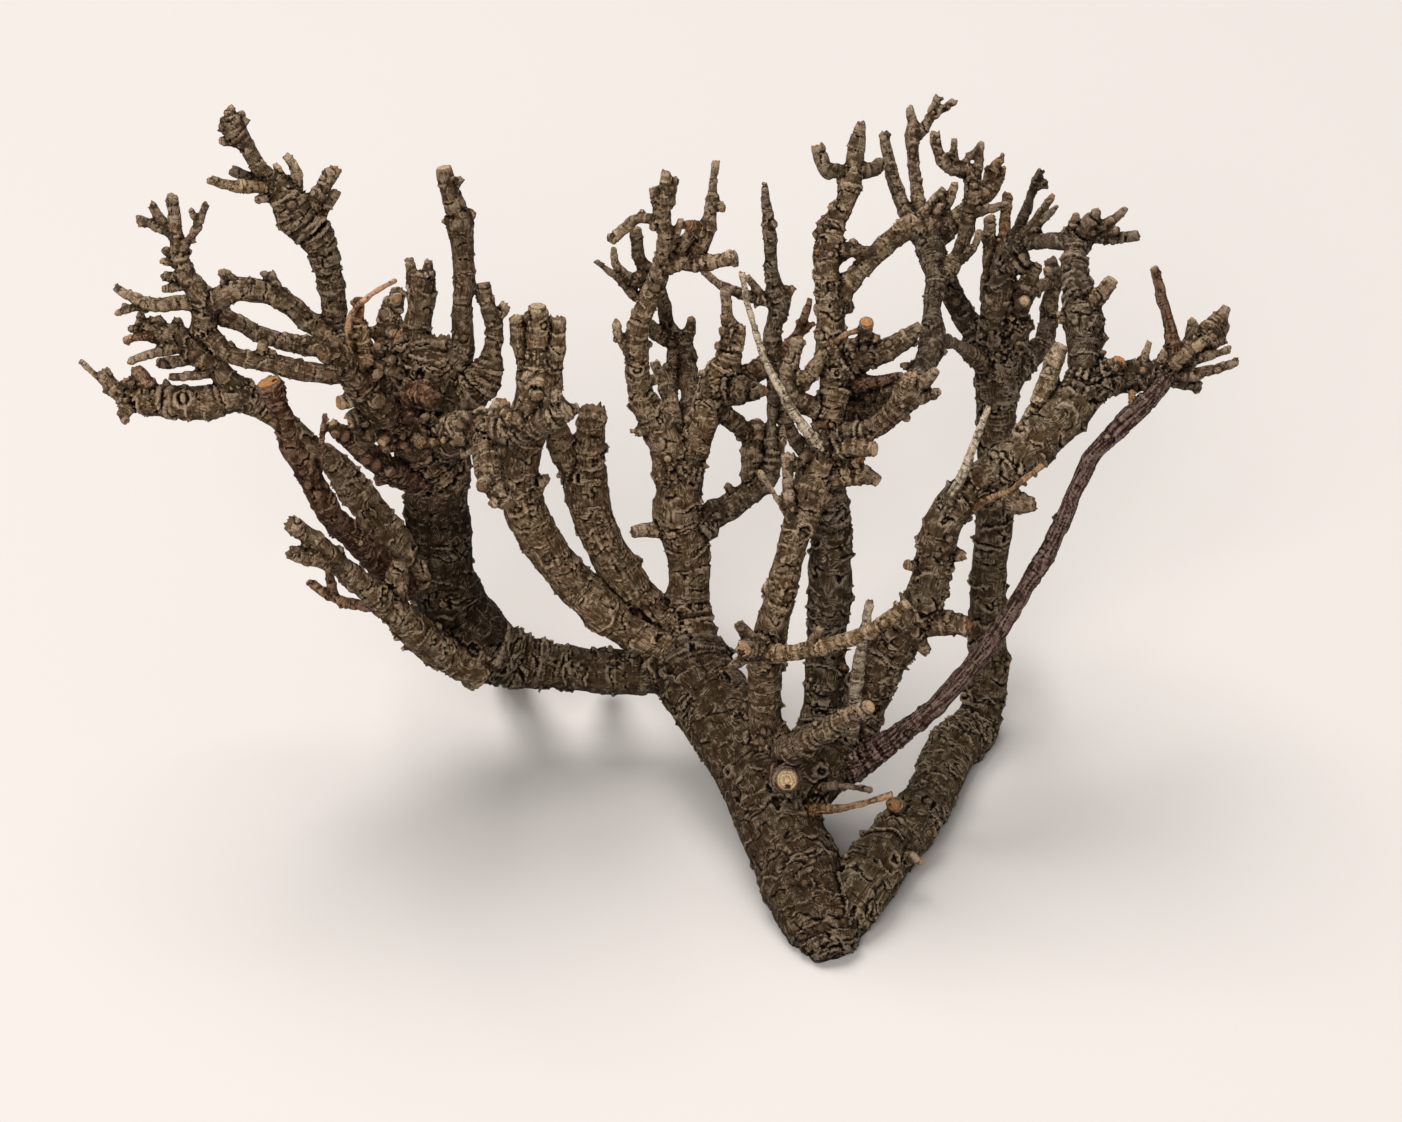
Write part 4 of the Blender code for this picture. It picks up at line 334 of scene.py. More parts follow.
    "forward_arm_up": [(-67, 114.5, 20, 2.9), (-66, 119, 22, 3), (-64, 125.3, 24, 2)],
    "forward_arm_down": [(-75, 112, 13, 3.4), (-74.5, 104, 17, 3), (-70.3, 97.4, 20, 1.8)],
    "forward_arm_bump": [(-71.7, 115, 16, 2), (-71, 120.3, 18, 1.1)],
}

# Twigs and stubs of the middle and the right, and short branches on the hidden side
TWIGS = {
    "stump_prong_left": [(-66, 128, -6, 2.6), (-68, 134, -4, 2), (-68.7, 138.6, -2, 1.7)],
    "stump_prong_middle": [(-63.5, 130, -5, 3.2), (-63.9, 137, -2, 2.6), (-64, 141.2, 0, 2.1)],
    "stump_prong_right": [(-61, 128, -5, 2.8), (-59.8, 134, -3, 2.1), (-59.6, 138.3, -2, 2)],
    "slant_knob": [(-65.5, 100, -22, 2.2), (-61.8, 103.6, -20, 1.1)],
    "middle_stub": [(-34, 92.3, -40, 2.3), (-40, 92, -37, 1.7), (-43.3, 91.4, -36, 1.4)],
    "middle_knob": [(-38.5, 115, -31, 2.2), (-42.7, 113, -30, 1)],
    "middle_left_stub": [(-43.3, 130, -21, 1.6), (-46, 134, -19, 1.1), (-47, 137.8, -18, 0.9)],
    "comb_twig": [(-33.5, 111, -37, 2.4), (-34.6, 118, -39, 1.8), (-36.2, 124, -42, 1.6),
                  (-38.5, 128.8, -44, 1.1)],
    "head_prong_left": [(-37.6, 163, -3, 1.6), (-38.8, 167, -2, 1)],
    "head_prong_middle": [(-36.2, 163.5, -2, 1.7), (-35.8, 170.5, -1, 1.1)],
    "head_prong_right": [(-35.4, 163.5, -2, 1.5), (-34, 169.3, -2, 1)],
    "elbow_twig": [(-37, 160, -4, 1.2), (-42.3, 160.2, -6, 1.3), (-44.5, 158.5, -7, 1.3),
                   (-48.2, 155, -8, 1.1)],
    "elbow_knob": [(-41.6, 160, -6, 1), (-41, 162.2, -6, 0.7)],
    "short_twig": [(-35.2, 154, -7, 1.4), (-33.3, 158, -6, 1), (-32.5, 160.3, -5, 0.8)],
    "cut_branch": [(-37, 149.5, -10, 2.1), (-33, 151, -10, 2.4), (-30, 150.5, -10, 2.1),
                   (-26, 150.6, -9, 1.8), (-20.4, 152, -7, 1.6)],
    "thorned_twig": [(-30.5, 151, -10, 2), (-28, 154.5, -10, 2.1), (-27, 158, -10, 2),
                     (-26.3, 161, -10, 1.7), (-25.6, 164, -10, 1.6), (-25.7, 167, -10, 1),
                     (-24.9, 172.9, -9, 0.9)],
    "thorn": [(-25.7, 163.7, -10, 1.5), (-22.9, 162.2, -9, 0.8)],
    "hooked_branch": [(-34, 151.7, -10, 1.8), (-31, 155.5, -9, 1.7), (-28.6, 158.8, -9, 1.9)],
    "hooked_stub": [(-28.6, 158.2, -9, 1.5), (-31.3, 159, -6, 1.1)],
    "dark_arm": [(-22.5, 123, -32, 3.8), (-18, 122.6, -30, 2.8), (-14, 122.2, -28, 1.1)],
    "dark_link": [(-21, 124.5, -33, 2.8), (-16.5, 126.5, -35, 2.5), (-12.3, 130, -37, 2.1)],
    "nub_left": [(-25, 125.7, -32, 1.5), (-28.6, 126.5, -31, 0.7)],
    "nub_low": [(-26, 121.5, -32, 2), (-27.4, 125.3, -31, 1.1)],
    "side_bump": [(-21, 131.5, -30, 2.1), (-19.3, 137, -29, 1.2)],
    "cross_arm": [(-25.5, 119, -34, 2.4), (-21, 115.7, -38, 2.2), (-17, 112, -41.5, 2)],
    "low_web": [(1, 106, 1, 2.6), (7, 106.8, 4, 2)],
    "far_stub": [(-16, 100.5, -43, 2.6), (-17, 105, -43, 2.7), (-16.5, 115.6, -41, 2.5)],
    "far_knob": [(-19.5, 98, -43, 1.6), (-22.5, 101.8, -42, 0.9)],
    "far_second": [(-12.6, 104, -41.5, 1.6), (-10.6, 111, -41, 1), (-10.5, 118, -40, 1),
                   (-11.8, 128, -37, 1.6)],
    "far_left_arm": [(-11, 142, -34, 2), (-16.5, 142.8, -35, 1.4), (-20.5, 144.2, -36, 1.2),
                     (-24.5, 146, -38, 1), (-28.3, 149.5, -40, 0.8)],
    "far_left_twig": [(-14.3, 142.5, -34.5, 1.2), (-18.3, 147.8, -33, 0.8)],
    "far_right_knob": [(-10.5, 142, -34, 1.4), (-8, 145.2, -33, 0.8)],
    "far_blade": [(-11.5, 129.5, -37, 1.7), (-8, 133.7, -34, 1.2), (-5.8, 138, -31, 1),
                  (-4.3, 142.5, -28, 0.8)],
    "far_blade_side": [(-8, 133.7, -34, 0.9), (-3.3, 137.4, -30, 0.7)],
    "rear_branch": [(-29.7, 110, -36, 2.8), (-30.3, 119, -45, 2.1), (-30.9, 126, -52, 2.1),
                    (-31.7, 130, -55, 2.5), (-33.3, 133, -56, 2.6), (-35.6, 137, -55, 1.7),
                    (-36.6, 142, -52, 1.6), (-38.5, 147.5, -50, 1.7), (-41.5, 151, -48, 1.5),
                    (-42.6, 158.3, -45, 1.3)],
    "rear_strand": [(-32.5, 109, -37, 2.4), (-34.6, 119, -46, 1.7), (-34.8, 125, -52, 1.8),
                    (-33.3, 131.5, -55.5, 2.3)],
    "rear_knob": [(-34.5, 133.5, -55.5, 2.1), (-38.2, 135.3, -54, 1.6), (-39.7, 137.8, -53, 1.1)],
    "rear_prong": [(-32, 133, -56, 1.9), (-30.5, 136, -57, 1.3), (-30.2, 138.7, -57, 0.9)],
    "rear_twig_long": [(-38, 145.5, -50.5, 1.7), (-42, 142.8, -47, 1.3), (-45.5, 146.3, -45, 0.9),
                       (-51.4, 151, -43, 0.7)],
    "rear_twig": [(-39.5, 148, -49.5, 1.6), (-43.8, 146.6, -46, 1.9), (-46.9, 150.3, -46, 1),
                  (-47.4, 154, -47, 0.7)],
    "pale_twig": [(-1.5, 109.5, 3, 2.2), (-4.5, 113, 6, 1.4), (-7, 116.5, 7, 1.2),
                  (-9.5, 120.5, 8, 1.1), (-12, 125, 8, 1), (-14.5, 130, 9, 0.9),
                  (-17.6, 140, 9, 0.8), (-18.5, 144, 9, 0.8), (-19.3, 148.4, 9, 0.9)],
    "ringed_stub": [(-0.8, 117, 0, 2.5), (-4.5, 119.3, 2, 2.3), (-7, 120.7, 4, 2),
                    (-9, 123.5, 5, 1.8), (-8.8, 127, 5, 1.8), (-6.8, 133.9, 5, 1.6)],
    "tan_link": [(-9, 125.3, 5, 1.6), (-5, 125.4, 5, 1.9), (-3.2, 127.7, 5, 1.7),
                 (-0.8, 130.3, 4, 1.7)],
    "dark_twig": [(-3.5, 107.3, 0, 2), (-7.3, 111.3, 1, 1.6), (-9, 115.5, 2, 1.2),
                  (-8.3, 120.5, 4, 1.1)],
    "knotted_twig": [(-6.5, 93.5, 2, 1.8), (-9, 97.5, 5, 1.4), (-9.1, 103, 5, 1.3),
                     (-9, 108.6, 5, 1.4)],
    "knotted_side": [(-9, 105, 5, 1.1), (-6.3, 107, 4, 1.2), (-3, 109.5, 3, 1.5)],
    "ball_twig": [(-8.5, 94, 4, 0.9), (-12.3, 100, 6, 0.7), (-15.4, 104.9, 7, 0.8)],
    "facing_stub": [(-0.3, 85.3, -17, 1.7), (-1.5, 85.9, -11, 1.2)],
    "cut_stub_right": [(-0.5, 108, 1, 3), (4.5, 110.2, 5, 2.4), (9.9, 109.6, 9, 1.7)],
    "low_lump": [(-0.5, 103, 1, 3), (4.5, 104, 3, 2.6), (8, 104, 4, 2), (10.8, 102.5, 5, 1.3)],
    "front_right_arm": [(-0.5, 111, 2, 3.4), (5, 113, 4, 2.7), (8.5, 113.6, 6, 2.4),
                        (12.3, 116.3, 8, 2.4), (15, 118.8, 10, 2.8), (17.3, 122, 12, 3.1),
                        (18.6, 125.8, 13, 2.6)],
    "front_prong_up": [(18.3, 122.7, 12, 2.2), (21.5, 125, 14, 1.5), (23.6, 127.2, 15, 1)],
    "front_prong_out": [(17.8, 121.3, 12, 2.2), (21.3, 121.2, 13, 1.2), (24.3, 122.6, 14, 0.8)],
    "front_arm_spur": [(14.7, 119, 10, 1.8), (17.3, 116, 11, 0.8)],
    "dark_mass": [(1, 119, 0, 3), (6, 118.7, -2, 3.2), (11, 119.3, 1, 2.6), (15, 120.7, 7, 2.2)],
    "shadow_web": [(2, 123, 0, 3), (7, 123, 0, 2.6), (11, 122, 2, 2.2), (16.5, 122, 9, 2.2)],
    "ringed_thorn": [(20, 127.3, 2, 1.6), (15.4, 128.2, 3, 0.7)],
    "pale_ended_arm": [(1.5, 126.5, 2, 4.4), (6, 129.5, 3, 3.4), (10, 130.4, 4, 2.8),
                       (14, 132.2, 5, 2.5), (17, 134.3, 6, 2.1), (20, 137, 7, 1.1)],
    "cup_stub": [(6.7, 129, 3, 2.2), (7.6, 134, 5, 1.7), (8, 137.7, 9, 1.7)],
    "cup_spur": [(7.8, 133.3, 5, 1.1), (10.8, 134.4, 6, 0.7)],
    "orange_bridge": [(0.7, 133, 5, 1), (4, 135, 7, 0.7), (7.2, 135.8, 7.5, 0.8)],
    "small_dark_stub": [(4, 129.5, 4, 1.5), (5.4, 133.9, 6, 0.9)],
    "red_stub": [(4, 124.3, 2, 2.4), (10, 124.3, 4, 1.7), (16, 126, 6, 0.9)],
    "upper_blob": [(0.8, 153, 3.5, 2.2), (5, 153.3, 4, 1.6), (9.3, 152.3, 3.5, 1.5)],
    "upper_blob_nub": [(3.7, 153.5, 4, 1.2), (5.8, 155.6, 5, 0.7)],
    "head_arm_left": [(4.3, 170.4, 3, 1.7), (1.5, 170.7, 4, 1.5), (-0.9, 171, 4, 1.6),
                      (-2.6, 176, 4, 1.6)],
    "head_arm_right": [(5.5, 170.7, 3, 1.8), (9.5, 171, 0, 1.7), (11.3, 172.3, -4, 1.5)],
    "head_knob": [(1.5, 160, 3.5, 1.5), (0.1, 163.2, 5, 0.9)],
    "head_knob_left": [(-0.3, 157.5, 3.5, 2), (-2.2, 159.6, 5, 1.2)],
    "head_knob_low": [(-0.7, 153, 3.5, 2), (-3.1, 153.2, 5, 1.1)],
    "fan_prong_left": [(19.3, 159, 3, 1.8), (22, 163.3, 4, 1.1), (25, 166.7, 5, 0.8)],
    "fan_prong_right": [(24, 159.8, 3, 1.7), (26, 164, 4, 1.3), (27.6, 168.2, 5, 0.8)],
    "fan_spur": [(22.5, 159.7, 3.5, 1.4), (24.5, 163.4, 6, 0.8)],
    "far_pole_left": [(20.3, 156, -22, 2.6), (17.3, 160.5, -28, 1.9), (15.3, 165, -30, 1.6),
                      (13.6, 170, -32, 1.5), (11.7, 179, -34, 1.1)],
    "far_pole_right": [(20.7, 156.5, -22.5, 2.4), (19.6, 163, -30, 1.7), (18.7, 169, -33, 1.4),
                       (18.2, 175, -35, 1.4), (18, 178.5, -36, 1.7), (18, 181, -37, 1.3),
                       (17.5, 184.6, -38, 0.9)],
    "far_fork": [(18.3, 177.5, -36, 1.5), (21.5, 181.5, -37, 1.2), (23.7, 187, -38, 0.9)],
    "far_fork_side": [(22, 182.3, -37, 1.1), (27.5, 186.1, -37, 0.9)],
    "curly_side": [(28.3, 151.5, -14.5, 1.7), (31.3, 153.5, -13, 1.1), (33.1, 157.7, -12, 0.8)],
    "curly_spur": [(27.3, 171.7, -11.5, 1.3), (27.2, 178, -10, 0.7)],
    "curly_upright": [(31.5, 167, -13, 1.5), (32.6, 172, -12, 1.1), (33.1, 177.1, -11, 0.9)],
    "curly_brace": [(28.7, 171.5, -12, 0.9), (32.5, 175.7, -11.3, 0.7)],
    "tan_limb": [(21.5, 155, -23, 3), (26, 158.5, -24, 2.6), (31, 163, -25, 1.8),
                 (35, 166.5, -27, 2), (37.9, 171.4, -28, 1)],
    "tan_tooth": [(34.3, 166.5, -26.6, 1.3), (34.6, 171.3, -27, 0.8)],
    "brown_tooth": [(35.8, 168.3, -27.3, 1.3), (36.3, 172, -26, 1.2), (38.1, 173.1, -25, 0.7)],
    "grey_side": [(31, 161.7, -14, 1.5), (35.5, 162.4, -11, 1.1), (38.9, 163.7, -9, 0.8)],
    "ringed_pole": [(35.8, 137, -29.5, 2.4), (34.4, 144, -28, 1.6), (34.8, 150, -26, 1.4),
                    (34.9, 155, -25, 1.5), (35, 160.8, -24, 1.3)],
    "orange_pole": [(38.3, 152, -22.5, 2), (38.3, 158, -27, 1.4), (38.9, 165.6, -30, 1.2)],
    "dark_pole": [(40, 154, -20, 2), (42, 159.3, -19, 1.4), (43.3, 163, -18, 1.1),
                  (45, 168, -16, 0.9), (46.2, 170.9, -15, 0.8)],
    "dark_pole_side": [(44.3, 166, -16.6, 1), (47.5, 168.7, -15, 0.8)],
    "grey_pole": [(41.5, 155, -18.5, 1.9), (45, 159, -16, 1.4), (46.5, 162, -15, 1),
                  (48.9, 165.2, -14, 0.8)],
    "grey_pole_side": [(44.3, 158, -16.5, 1.2), (50, 163, -12, 0.7)],
    "lumpy_base": [(38.5, 132, -30, 4), (42, 138.5, -26, 3)],
    "arch_lump": [(39, 150, -22, 3.2), (43, 152.3, -20, 2.3)],
    "lumpy_stub": [(37.8, 136, -28, 3.5), (41.3, 140.5, -25, 2.5), (42.6, 143.5, -23, 2.1),
                   (43.6, 147, -22, 1.8), (46, 150.4, -21, 1.1)],
    "lumpy_cut": [(41.7, 141, -25, 1.8), (42.7, 142.2, -18, 1.3)],
    "grey_bridge": [(43, 142.7, -23.5, 1.6), (46.3, 145.5, -29, 1.3), (49.2, 146, -37, 1.3)],
    "tan_strip": [(48.2, 140, -38, 1.6), (48.7, 144, -35, 1.4), (47.5, 149.5, -33, 0.8)],
    "stem_link": [(34.5, 128.5, -31, 3), (31, 130.5, -25, 1.9), (28, 132.3, -17, 1.3),
                  (23.5, 134, -6, 1.7)],
    "whip_neighbour": [(4.5, 45, -21, 2), (5, 50, -17, 1.7), (6, 60, -13, 1.5), (8.7, 76.4, -8, 1)],
    "right_side_stub": [(17, 71, -15, 3), (25, 71.7, -11, 2.8), (30.4, 71, -9, 2.2)],
    "right_under_stub": [(17.5, 70, -15, 2.4), (21.5, 65, -13, 1.2)],
    "shelf_left": [(22, 84, -7.5, 2), (16.3, 84.3, -5, 1)],
    "shelf_right": [(24, 86.7, -6.5, 2.2), (29.5, 86.5, -4, 1.2)],
    "knobby_stub": [(35.5, 101.5, 2, 3.6), (41, 98, 4, 2.5), (44.8, 97.6, 5, 1.6)],
    "orange_twig": [(30.5, 96.5, 2, 1.3), (36, 99.3, 7, 0.8), (40, 101, 8, 0.7),
                    (46.8, 106.4, 8.5, 0.8)],
    "grey_lean_twig": [(25.5, 96, 1, 1.8), (29.5, 105, 6, 1.1), (31.7, 111, 7, 1),
                       (34.8, 119, 7, 0.8)],
    "cut_fork": [(39.5, 106.5, 2, 3.6), (43.5, 114, 1, 2.7), (45.7, 119, 2, 2.2),
                 (47.5, 124, 3, 2.1), (49, 128.5, 4, 2.2), (50.9, 132.6, 4, 1.6)],
    "upright_cut_stub": [(55.5, 140.5, -0.5, 3), (59.3, 143.5, 2, 2), (62, 147, 4, 1.5)],
    "upright_spur": [(57.5, 133, 1, 1.8), (61, 134.4, 2, 0.8)],
    "upright_spur_left": [(53.5, 138.7, 0, 1.8), (49.9, 137.7, 1, 0.8)],
    "red_stick": [(76, 128, 2, 2.1), (75.2, 133, 1, 1.7), (74, 138, 1, 1.3), (71, 149.6, 3, 1.1)],
    "arm_stub": [(68, 126.5, 3, 1.3), (70, 133.2, 4, 0.8)],
    "arm_bump": [(72.3, 127.5, 4, 1.6), (73.2, 131.4, 5, 0.8)],
    "arm_knob": [(61.5, 126, 4, 2.7), (63.5, 129.2, 7, 1.7)],
    "end_branch": [(76, 128.5, 2, 2.4), (80.5, 133.3, -3, 2.6), (83.5, 136, -5, 2.3),
                   (85.5, 138.3, -6, 1.7), (87, 141, -6, 1.1)],
    "end_thumb": [(79.7, 132.7, -2, 2), (79.3, 138.2, -1, 1.1)],
    "end_knob": [(82.5, 134, -4, 2.4), (87, 136.5, -6, 1.2)],
    "end_shelf": [(80, 131.5, -2, 2), (86.7, 133.7, -4, 1)],
    "end_grey": [(74, 127, 3.5, 2), (77, 129.8, 6, 1.5), (79.5, 132, 7, 1.3), (84.3, 134.7, 8, 0.8)],
    "end_brown": [(76.3, 127.6, 2.3, 1.9), (81, 129.5, 0, 1.2), (87.7, 131.5, -2, 0.8)],
    "end_long": [(75, 126.8, 3, 2.1), (80.5, 126.3, 4, 1.4), (89.5, 128.8, 6, 0.9)],
    "end_low": [(73, 126, 2, 2), (78, 124, -1, 1.4), (81.3, 123.6, -2, 1)],
    "end_drop": [(79.6, 124, -1.5, 1.2), (80.4, 122.1, -2, 0.8)],
    "orange_drop": [(67, 125, 4, 1.2), (65.7, 119.4, 5, 0.7)],
    "top_grey": [(52.6, 155.5, -11.5, 1.6), (54, 161.5, -9, 0.8)],
    "top_body": [(55.7, 156, -11, 2.4), (57, 159, -8, 2.1), (58.8, 162.1, -7, 0.9)],
    "top_side": [(57, 157.7, -9, 1.9), (61, 159.3, -8, 1.3), (65.2, 162.5, -8, 0.7)],
    "top_nub": [(59.5, 156.7, -9.5, 1.5), (63.3, 157.8, -6, 0.8)],
    "front_branch": [(-9, 43, -17, 4), (-7, 44.5, -8, 3.2), (-2, 47.5, 0, 2.6), (4, 51, 8, 2),
                     (9, 53.4, 13, 1.6)],
    "facing_cut": [(-10.5, 38.5, -20, 4), (-9.3, 37.3, -7, 2.8)],
    "back_stem_stub": [(17, 29, -27, 2.6), (14, 32, -16, 1.7)],
    "low_thorn": [(13, 22.5, -15, 2), (20.3, 19.2, -8, 0.8)],
    "low_twig_black": [(-4, 35, -14, 1.6), (2, 36, -8, 0.9), (9.3, 35, -4, 0.7)],
    "low_twig_orange": [(-6, 30.5, -12, 1.6), (4, 31.3, -5, 0.9), (13.8, 34.2, -2, 0.8)],
    "small_cluster": [(-13, 68, -6, 3.2), (-16, 66, 0, 2.9), (-18.8, 66, 4, 2.2)],
    "small_cluster_up": [(-16.3, 66.5, 1, 1.9), (-20, 71.7, 3, 1.3)],
    "small_cluster_low": [(-16.8, 65, 1.5, 1.7), (-22, 61.8, 4, 0.9)],
    "small_arm": [(-15, 65.3, -1, 2.2), (-10, 65, 3, 1.9), (-3, 66, 6, 1.8), (4, 68, 8, 1.7),
                  (10, 70.5, 10, 1.6), (14, 73.5, 11, 1.5), (17.3, 76, 12, 1.1)],
    "small_arm_bud": [(-4.5, 66.3, 5.5, 1.4), (-1.7, 70.7, 6, 1)],
    "hidden_middle": [(-31, 83, -43, 3.4), (-32, 88, -57, 2.9), (-33, 92, -70, 2.4),
                      (-34, 95, -82, 1.7)],
    "hidden_right": [(35, 74, -51, 3.1), (35, 80, -64, 2.6), (36, 86, -77, 1.9)],
    "hidden_left": [(-86, 99, -26, 4.4), (-87, 106, -40, 3.6), (-88, 112, -54, 2.9),
                    (-87, 118, -67, 2)],
    "hidden_left_fork": [(-87.5, 109, -47, 2.6), (-84, 116, -52, 2), (-82, 122, -54, 1.4)],
    "hidden_upright": [(55.5, 130, 1, 3), (55.5, 134, -12, 2.5), (56, 138, -24, 1.7)],
    "hidden_crotch": [(2, 127, 1, 3.6), (2, 131, -14, 2.9), (1.5, 134, -28, 2.3),
                      (1, 138, -39, 1.6)],
    "hidden_bough": [(-50, 61, -46, 3.6), (-50, 62, -60, 2.9), (-49, 63, -72, 2)],
}

# The pieces that the surface is made in, each with the boughs that it holds. Arms of the left end
# go with their own piece, and every other twig goes with the bough that its root is nearest to.
PIECES = {
    "driftwood_trunk": ("trunk", "crotch", "right_back_stem", "left_bough", "hidden_prop", "whip"),
    "driftwood_left": ("left_trunk",),
    "driftwood_middle": ("slant_stem_left", "slant_stem_right", "slant_prong", "middle_stem",
                         "middle_left", "middle_right", "far_stem"),
    "driftwood_front": ("front_stem", "rear_stem", "diagonal"),
    "driftwood_right": ("right_stem", "right_upright", "right_arm"),
    "driftwood_back": ("back_top", "back_fork", "ringed_stem", "far_diagonal", "curly_stem"),
}
LEFT_PIECE = "driftwood_left"
LEFT_TIPS_PIECE = "driftwood_left_tips"
LEFT_TIP_ARMS = ("mast", "tall", "knuckle", "short_post", "grey_post", "left_arm", "high_rail",
                 "back_rail", "long_rail", "right_crown")

# Bark colours, linear red, green, blue
BARK = (0.178, 0.121, 0.073)
TRUNK_BARK = (0.078, 0.053, 0.031)
GREY_BARK = (0.128, 0.092, 0.059)
DARK_BARK = (0.084, 0.054, 0.030)
RED_BARK = (0.110, 0.055, 0.029)
TAN_BARK = (0.225, 0.150, 0.083)
ORANGE_BARK = (0.200, 0.106, 0.049)
PALE_BARK = (0.300, 0.235, 0.165)
PLUM_BARK = (0.092, 0.054, 0.044)
LIMBS_BY_COLOUR = (
    (PLUM_BARK, "whip"),
    (TRUNK_BARK, "trunk crotch"),
    (GREY_BARK, "right_upright back_top back_fork ringed_stem far_diagonal far_stem rear_stem"),
    (RED_BARK, "brown_arm brown_arm_twig red_twig red_twig_side red_stick red_stub far_blade"
               " far_blade_side cluster_low_right cluster_right"),
    (PALE_BARK, "pale_twig grey_lean_twig whip_neighbour"),
    (TAN_BARK, "tan_limb tan_tooth tan_strip tan_link short_twig end_grey small_arm tall_chip"
               " cluster_post"),
    (ORANGE_BARK, "orange_pole orange_twig orange_bridge orange_drop knuckle_orange"
                  " cluster_orange hooked_stub low_twig_orange brown_tooth"),
    (DARK_BARK, "dark_pole dark_pole_side dark_twig low_twig_black dark_arm dark_link dark_mass"
                " shadow_web rear_branch rear_strand rear_knob rear_prong rear_twig"
                " rear_twig_long cross_arm tall_dark_stub end_low cluster_low cluster_left_low"),
    ((0.122, 0.085, 0.050), "left_bough"),
    # painted shadow: the lower left trunk is nearly black as if in the shade under the cluster
    ((0.034, 0.021, 0.011), "left_trunk"),
    ((0.108, 0.077, 0.045), "right_back_stem"),
    ((0.148, 0.104, 0.064), "right_stem"),
    ((0.104, 0.073, 0.046), "right_arm"),
    ((0.240, 0.175, 0.110), "cut_fork"),
    ((0.250, 0.130, 0.070), "cluster_curl"),
    ((0.170, 0.112, 0.070), "end_long"),
    ((0.130, 0.080, 0.044), "front_cluster"),
    ((0.105, 0.055, 0.031), "cluster_knobs"),
    ((0.210, 0.120, 0.070), "left_arm_fibre"),
)
LIMB_COLOURS = {name: colour for colour, names in LIMBS_BY_COLOUR for name in names.split()}
TIP_COLOURS = {"left_trunk": BARK, "left_bough": (0.100, 0.068, 0.038)}    # of their outer parts; the left trunk's is its bark beyond the painted shadow

# How smooth a limb's bark is, from 0 for rough to 1 for furrowed only
SMOOTH_LIMBS = {"whip": 1.0, "pale_twig": 0.8, "red_stick": 0.8, "grey_lean_twig": 0.7,
                "cluster_curl": 0.9, "orange_twig": 0.9, "low_twig_orange": 0.8,
                "far_pole_left": 0.5, "far_pole_right": 0.5, "left_arm_hair": 0.8,
                "mast": 0.4, "tan_limb": 0.5, "ball_twig": 0.8,
                "slant_stem_left": 0.35, "slant_stem_right": 0.5, "middle_stem": 0.2}

# The trunk's first stations as drawn: the worn foot is a little narrower than the solid's
WORN_FOOT = [(1, -2, 2, 4.4), (-1, 4, -1, 7.6), (-4, 12, -6, 9.1)]

# Colours of the sawn and broken ends
PALE_END = (0.860, 0.620, 0.370)
ORANGE_END = (0.720, 0.330, 0.120)
TAN_END = (0.620, 0.410, 0.230)
BROWN_END = (0.520, 0.250, 0.105)
ENDS_BY_COLOUR = (
    (PALE_END, "front_branch facing_cut cut_branch upright_cut_stub cut_stub_right pale_ended_arm"
               " small_arm front_prong_up front_prong_out forward_arm_up stump_prong_middle"
               " grey_post lumpy_cut end_branch cut_fork low_lump facing_stub forward_arm"),
    (ORANGE_END, "cup_stub knuckle_orange far_stub trunk right_crown cluster_left"
                 " cluster_orange brown_arm arm_knob"),
    (TAN_BARK, "forward_arm_down"),
)
END_COLOURS = {name: colour for colour, names in ENDS_BY_COLOUR for name in names.split()}


def place(points):
    """Places, in station units, of stations given as rows of across, up and toward."""
    nearer = 1.0 - points[:, 2] / EYE_DISTANCE
    across = AIM[0] + (points[:, 0] - AIM[0]) * nearer
    up = AIM[1] + (points[:, 1] - AIM[1]) * nearer
    depth = up * math.sin(LEAN) - points[:, 2] * math.cos(LEAN)
    height = up * math.cos(LEAN) + points[:, 2] * math.sin(LEAN)
    return np.stack((across, depth, height), axis=1)


def smooth_line(stations, steps):
    """Rows of across, up, toward and radius on a smooth curve, in so many steps for each stretch."""
    padded = np.array([stations[0], *stations, stations[-1]], float)
    line = []
    for before, start, end, after in zip(padded, padded[1:], padded[2:], padded[3:]):
        count = steps(start, end)
        share = np.arange(count)[:, None] / count
        slope_in = (end - before) / 2
        slope_out = (after - start) / 2
        rise = end - start
        line.append(start + slope_in * share + (3 * rise - 2 * slope_in - slope_out) * share ** 2
                    + (slope_in + slope_out - 2 * rise) * share ** 3)
    line.append(padded[-1:])
    return np.concatenate(line)


def coarse_steps(start, end):
    """Steps between two stations, as many as the solid has."""
    length = np.linalg.norm(end[:3] - start[:3])
    return max(1, round(length / max(SHORTEST_STEP, RING_SPACING * (start[3] + end[3]) / 2)))


def fine_steps(start, end):
    """Steps between two stations of the finer surface."""
    return max(2, round(np.linalg.norm(end[:3] - start[:3]) / RING_STEP))


def spurs(draw):
    """Stations of the solid's broken twig bases on the side turned away from the eye."""
    result = {}
    for name, stations in BOUGHS.items():
        if name in SMOOTH_BOUGHS:
            continue
        line = smooth_line(stations, coarse_steps)
        run = 0.0
        for start, end in zip(line, line[1:]):
            run += math.dist(start[:3], end[:3])
            if run < SPUR_SPACING:
                continue
            run = draw.uniform(0.0, 0.4) * SPUR_SPACING
            across, up, toward, radius = start
            angle = draw.uniform(-SPUR_TURN, SPUR_TURN)
            reach = radius + draw.uniform(*SPUR_REACH)
            thick = min(radius * SPUR_SHARE, draw.uniform(*SPUR_RADIUS))
            tip = (across + math.sin(angle) * reach, up, toward - math.cos(angle) * reach, thick)
            result[f"{name}_spur_{len(result)}"] = [(across, up, toward, thick * SPUR_FLARE), tip]
    return result


